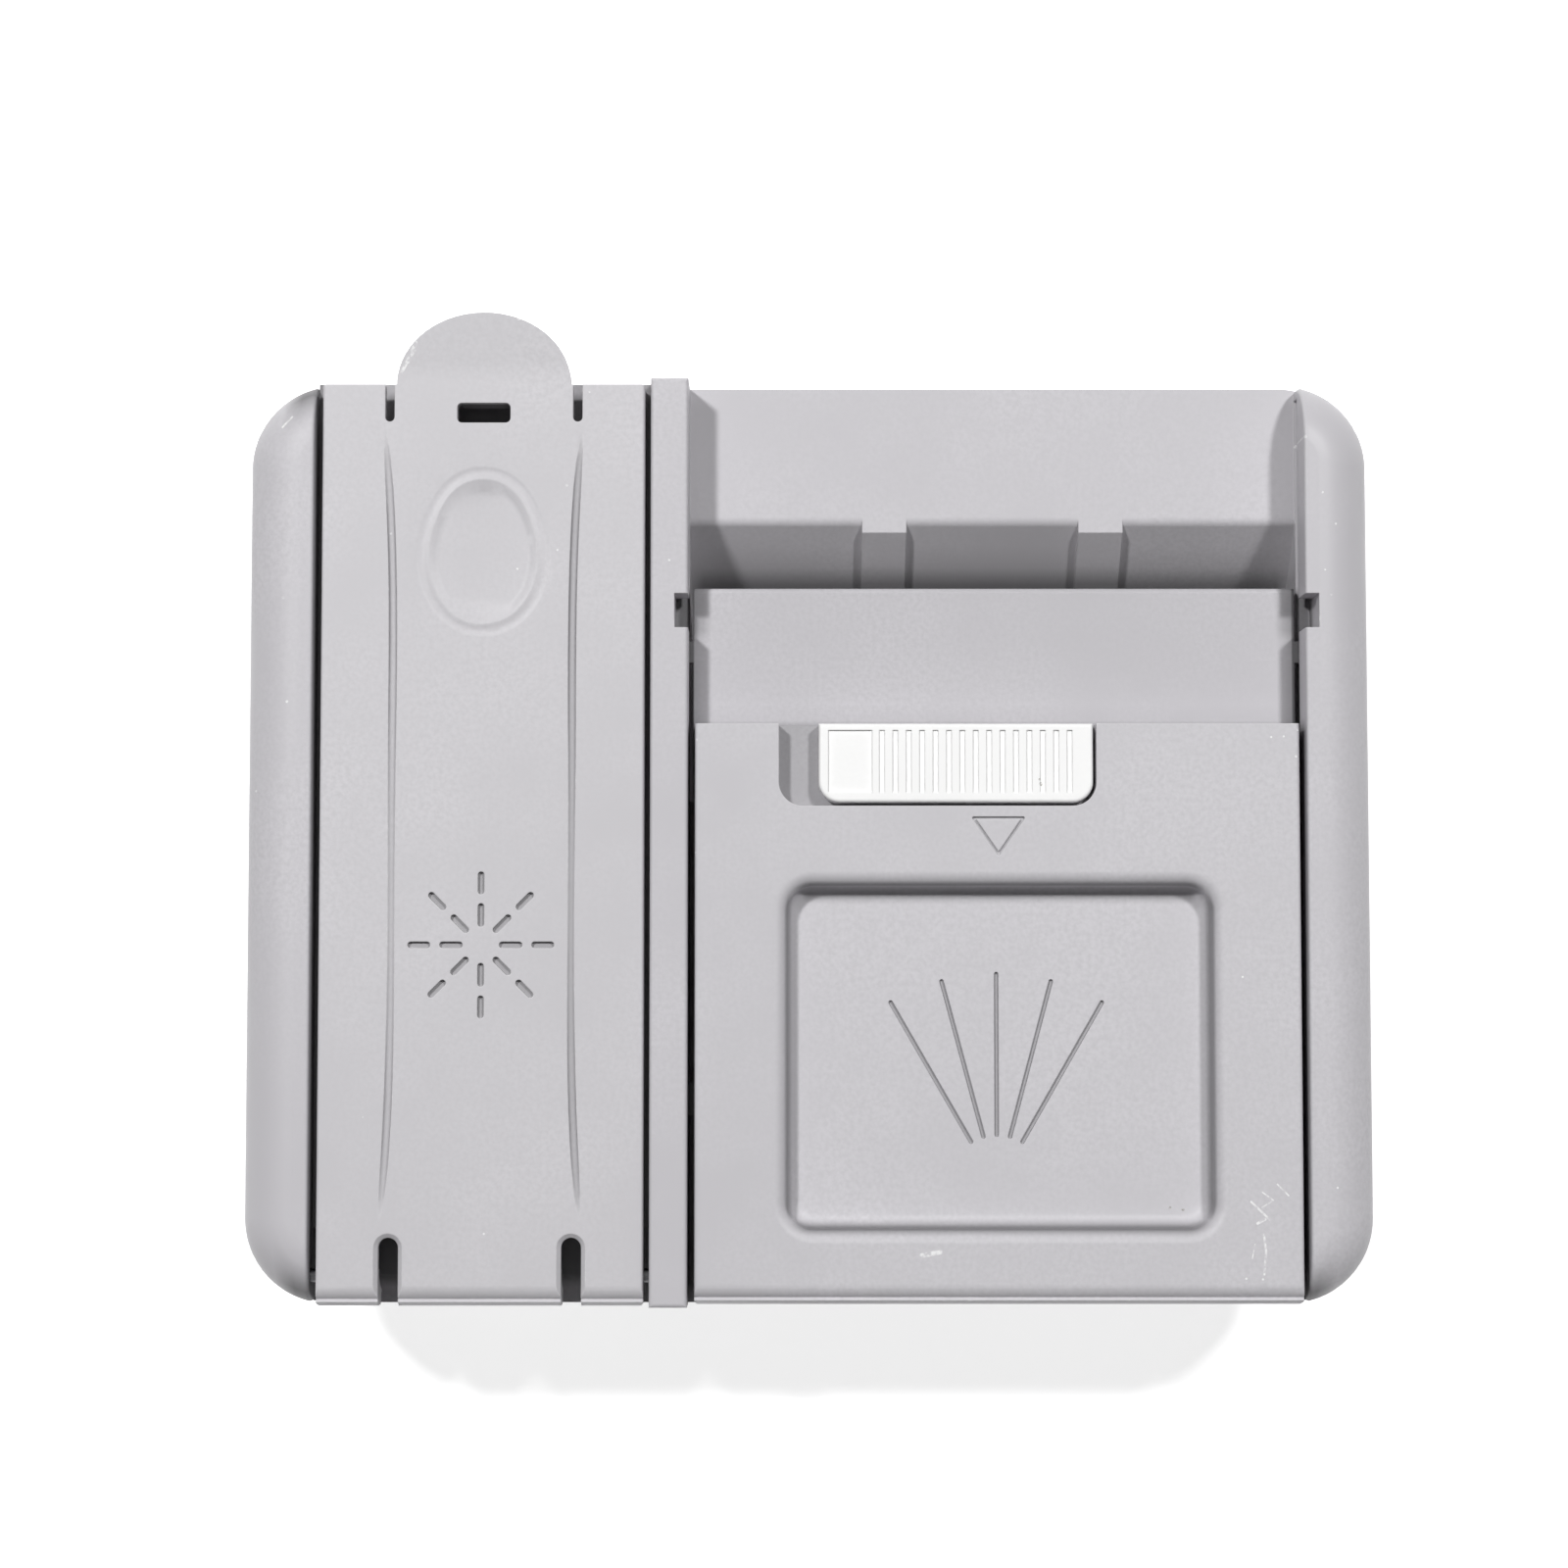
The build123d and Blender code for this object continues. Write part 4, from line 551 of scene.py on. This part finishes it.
FINISH = {
    "housing": housing_plastic,
    "rinse_aid_lid": flap_plastic,
    "lid_carrier": carrier_plastic,
    "lid_cover": cover_plastic,
    "latch_slider": latch_plastic,
    "rinse_tank": tank_plastic,
    "door_gasket": gasket_rubber,
    "filler_seal": seal_rubber,
    "dial_o_ring": seal_rubber,
    "lid_seal": seal_rubber,
    "catch_seal": seal_rubber,
    "rinse_lid_pin": pin_steel,
    "lever_pin": pin_steel,
    "latch_spring": spring_steel,
    "return_spring": spring_steel,
    "actuator_screws": screw_steel,
    "reed_terminals": terminal_brass,
    "actuator_terminals": terminal_brass,
    "dosage_dial": dial_plastic,
    "level_float": float_plastic,
    "float_magnet": magnet_ferrite,
    "reed_sensor": sensor_plastic,
    "release_lever": lever_plastic,
    "actuator_case": actuator_plastic,
    "actuator_plunger": natural_acetal,
    "dosing_stem": natural_acetal,
    "dosing_valve": valve_plastic,
}
for node_name, finish in FINISH.items():
    mesh = nodes[node_name].data
    mesh.materials.clear()
    mesh.materials.append(finish)


# Mesh helpers
def link(obj):
    scene.collection.objects.link(obj)
    return obj


def stroke_prism(bm, start, end, width, low, high, segments=10):
    """Rounded stroke from start to end, as a closed prism between two heights."""
    start, end = Vector(start), Vector(end)
    along = (end - start).normalized()
    side = Vector((-along.y, along.x))
    outline = []
    for centre, base in ((end, -90.0), (start, 90.0)):
        for step in range(segments + 1):
            angle = radians(base + 180.0 * step / segments)
            outline.append(centre + (along * cos(angle) + side * sin(angle)) * width / 2)
    lower = [bm.verts.new((p.x, p.y, low)) for p in outline]
    upper = [bm.verts.new((p.x, p.y, high)) for p in outline]
    bm.faces.new(lower[::-1])
    bm.faces.new(upper)
    count = len(outline)
    for i in range(count):
        j = (i + 1) % count
        bm.faces.new((lower[i], lower[j], upper[j], upper[i]))


def cutter(strokes, floor_z, depth=SIGN_DEPTH):
    """Strokes (start, end, width) as a tool that cuts to a depth below a flat place."""
    bm = bmesh.new()
    for start, end, width in strokes:
        stroke_prism(bm, start, end, width, floor_z - depth, floor_z + depth)
    mesh = bpy.data.meshes.new("cutter")
    bm.to_mesh(mesh)
    bm.free()
    return link(bpy.data.objects.new("cutter", mesh))


def weld_corners(piece):
    """Joins the split corners of a mesh, and drops the stored normals that no longer fit it."""
    bm = bmesh.new()
    bm.from_mesh(piece.data)
    bmesh.ops.remove_doubles(bm, verts=bm.verts, dist=WELD)
    bm.to_mesh(piece.data)
    bm.free()
    stored = piece.data.attributes.get("custom_normal")
    if stored:
        piece.data.attributes.remove(stored)


def engraved(node_name, name, body, cutters):
    """Copy of a node with signs cut into it, standing for that node."""
    piece = link(bpy.data.objects.new(name, nodes[node_name].data.copy()))
    weld_corners(piece)
    for tool in cutters:
        cut = piece.modifiers.new("cut", "BOOLEAN")
        cut.operation = "DIFFERENCE"
        cut.solver = "EXACT"
        cut.object = tool
    bpy.context.view_layer.update()
    evaluated = piece.evaluated_get(bpy.context.evaluated_depsgraph_get())
    result = bpy.data.meshes.new_from_object(evaluated)
    piece.modifiers.clear()
    piece.data = result
    for tool in cutters:
        bpy.data.objects.remove(tool)
    for polygon in result.polygons:
        polygon.use_smooth = True
    result.set_sharp_from_angle(angle=radians(SMOOTH_ANGLE))
    flats = piece.modifiers.new("flats", "WEIGHTED_NORMAL")
    flats.keep_sharp = True
    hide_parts(node_name)
    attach(piece, body)


def spoke(centre_x, centre_y, degrees, radii, width):
    """Stroke that points away from a centre, between two radii."""
    angle = radians(degrees)
    start, end = ((centre_x + r * cos(angle), centre_y + r * sin(angle)) for r in radii)
    return start, end, width


# Star sign on the flap
star = [
    spoke(FLAP_X, STAR_Y, 360.0 * index / STAR_SPOKES, ring, STAR_STROKE)
    for index in range(STAR_SPOKES)
    for ring in STAR_RINGS
]
star_tool = cutter(star, FACE_Z, STAR_DEPTH)
engraved("rinse_aid_lid", "flap_with_star", "flap_body", [star_tool])

# Spray sign in the finger pocket and the arrow above it
spray = [spoke(SPRAY_X, SPRAY_Y, degrees, SPRAY_RADII, SPRAY_STROKE) for degrees in SPRAY_ANGLES]
corners = (
    (ARROW_X - ARROW_HALF, ARROW_TOP),
    (ARROW_X + ARROW_HALF, ARROW_TOP),
    (ARROW_X, ARROW_TIP),
)
arrow = [(corners[i], corners[(i + 1) % 3], ARROW_STROKE) for i in range(3)]
sign_tools = [cutter(spray, POCKET_FLOOR_Z)] + [cutter([line], FACE_Z) for line in arrow]
engraved("lid_cover", "cover_with_signs", "lid_body", sign_tools)


# Springs: copies that stand for their nodes, with their placement baked in and no body
def sprung(node_name, name):
    piece = link(bpy.data.objects.new(name, nodes[node_name].data.copy()))
    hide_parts(node_name)
    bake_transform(piece)


sprung(
    "latch_spring",
    "latch_leaf_spring",
)
sprung(
    "return_spring",
    "lever_return_spring",
)

# Studio: lamps in metres and watts, floor, and camera at the photograph's view
LAMP_SIDE = 0.18
LAMP_PLACE = Vector((0.77, 0.68, 1.75))
LAMP_LEFT_POWER = 24.5
LAMP_RIGHT_POWER = 19.4
AMBIENT = 0.02
FLOOR_HALF = 3.0
FLOOR_GREY = 0.92
FLOOR_ROUGHNESS = 0.8
FLOOR_GLOW = 0.78
CAMERA_PLACE = Vector((-3.65 * MM, -23.7 * MM, 504.0 * MM))
CAMERA_TARGET = Vector((-3.65 * MM, 7.95 * MM, 14.0 * MM))
SENSOR_WIDTH = 36.0
LENS = 77.6
CLIP_START = 0.01


def area_light(name, place, power):
    """Square lamp that points at the origin."""
    data = bpy.data.lights.new(name, "AREA")
    data.shape = "SQUARE"
    data.size = LAMP_SIDE
    data.energy = power
    lamp = link(bpy.data.objects.new(name, data))
    lamp.location = place
    lamp.rotation_euler = (-place).to_track_quat("-Z", "Y").to_euler()


area_light("lamp_left", LAMP_PLACE * Vector((-1, 1, 1)), LAMP_LEFT_POWER)
area_light("lamp_right", LAMP_PLACE, LAMP_RIGHT_POWER)


def seen_directly(tree):
    """One for what the camera sees, also in a mirror or through glass, nought for light."""
    paths = add_node(tree, "ShaderNodeLightPath")
    seen = combine(tree, "MAXIMUM", paths.outputs["Is Camera Ray"], paths.outputs["Is Glossy Ray"])
    return combine(tree, "MAXIMUM", seen, paths.outputs["Is Transmission Ray"])


world = bpy.data.worlds.new("studio")
scene.world = world
world.use_nodes = True
world_tree = world.node_tree
background = world_tree.nodes["Background"]
background.inputs["Color"].default_value = (1.0, 1.0, 1.0, 1.0)
strength = ramp(world_tree, seen_directly(world_tree), 0.0, 1.0, AMBIENT, 1.0)
world_tree.links.new(strength, background.inputs["Strength"])

floor_mesh = bpy.data.meshes.new("floor")
floor_corners = ((-1, -1), (1, -1), (1, 1), (-1, 1))
floor_mesh.from_pydata(
    [(x * FLOOR_HALF, y * FLOOR_HALF, FLOOR_Z) for x, y in floor_corners],
    [],
    [(0, 1, 2, 3)],
)
floor = link(bpy.data.objects.new("floor", floor_mesh))
floor_paint, floor_tree, floor_shader = new_material("floor_paint")
floor_shader.inputs["Base Color"].default_value = (FLOOR_GREY, FLOOR_GREY, FLOOR_GREY, 1.0)
floor_shader.inputs["Roughness"].default_value = FLOOR_ROUGHNESS
floor_shader.inputs["Emission Color"].default_value = (1.0, 1.0, 1.0, 1.0)
floor_glow = multiply(floor_tree, seen_directly(floor_tree), FLOOR_GLOW)
floor_tree.links.new(floor_glow, floor_shader.inputs["Emission Strength"])
floor_mesh.materials.append(floor_paint)

camera_data = bpy.data.cameras.new("camera")
camera_data.sensor_width = SENSOR_WIDTH
camera_data.lens = LENS
camera_data.clip_start = CLIP_START
camera = link(bpy.data.objects.new("camera", camera_data))
back = (CAMERA_PLACE - CAMERA_TARGET).normalized()
right = Vector((0, 1, 0)).cross(back).normalized()
up = back.cross(right)
turn = Matrix((right, up, back)).transposed().to_4x4()
camera.matrix_world = Matrix.Translation(CAMERA_PLACE) @ turn
scene.camera = camera
scene.view_settings.view_transform = "Standard"
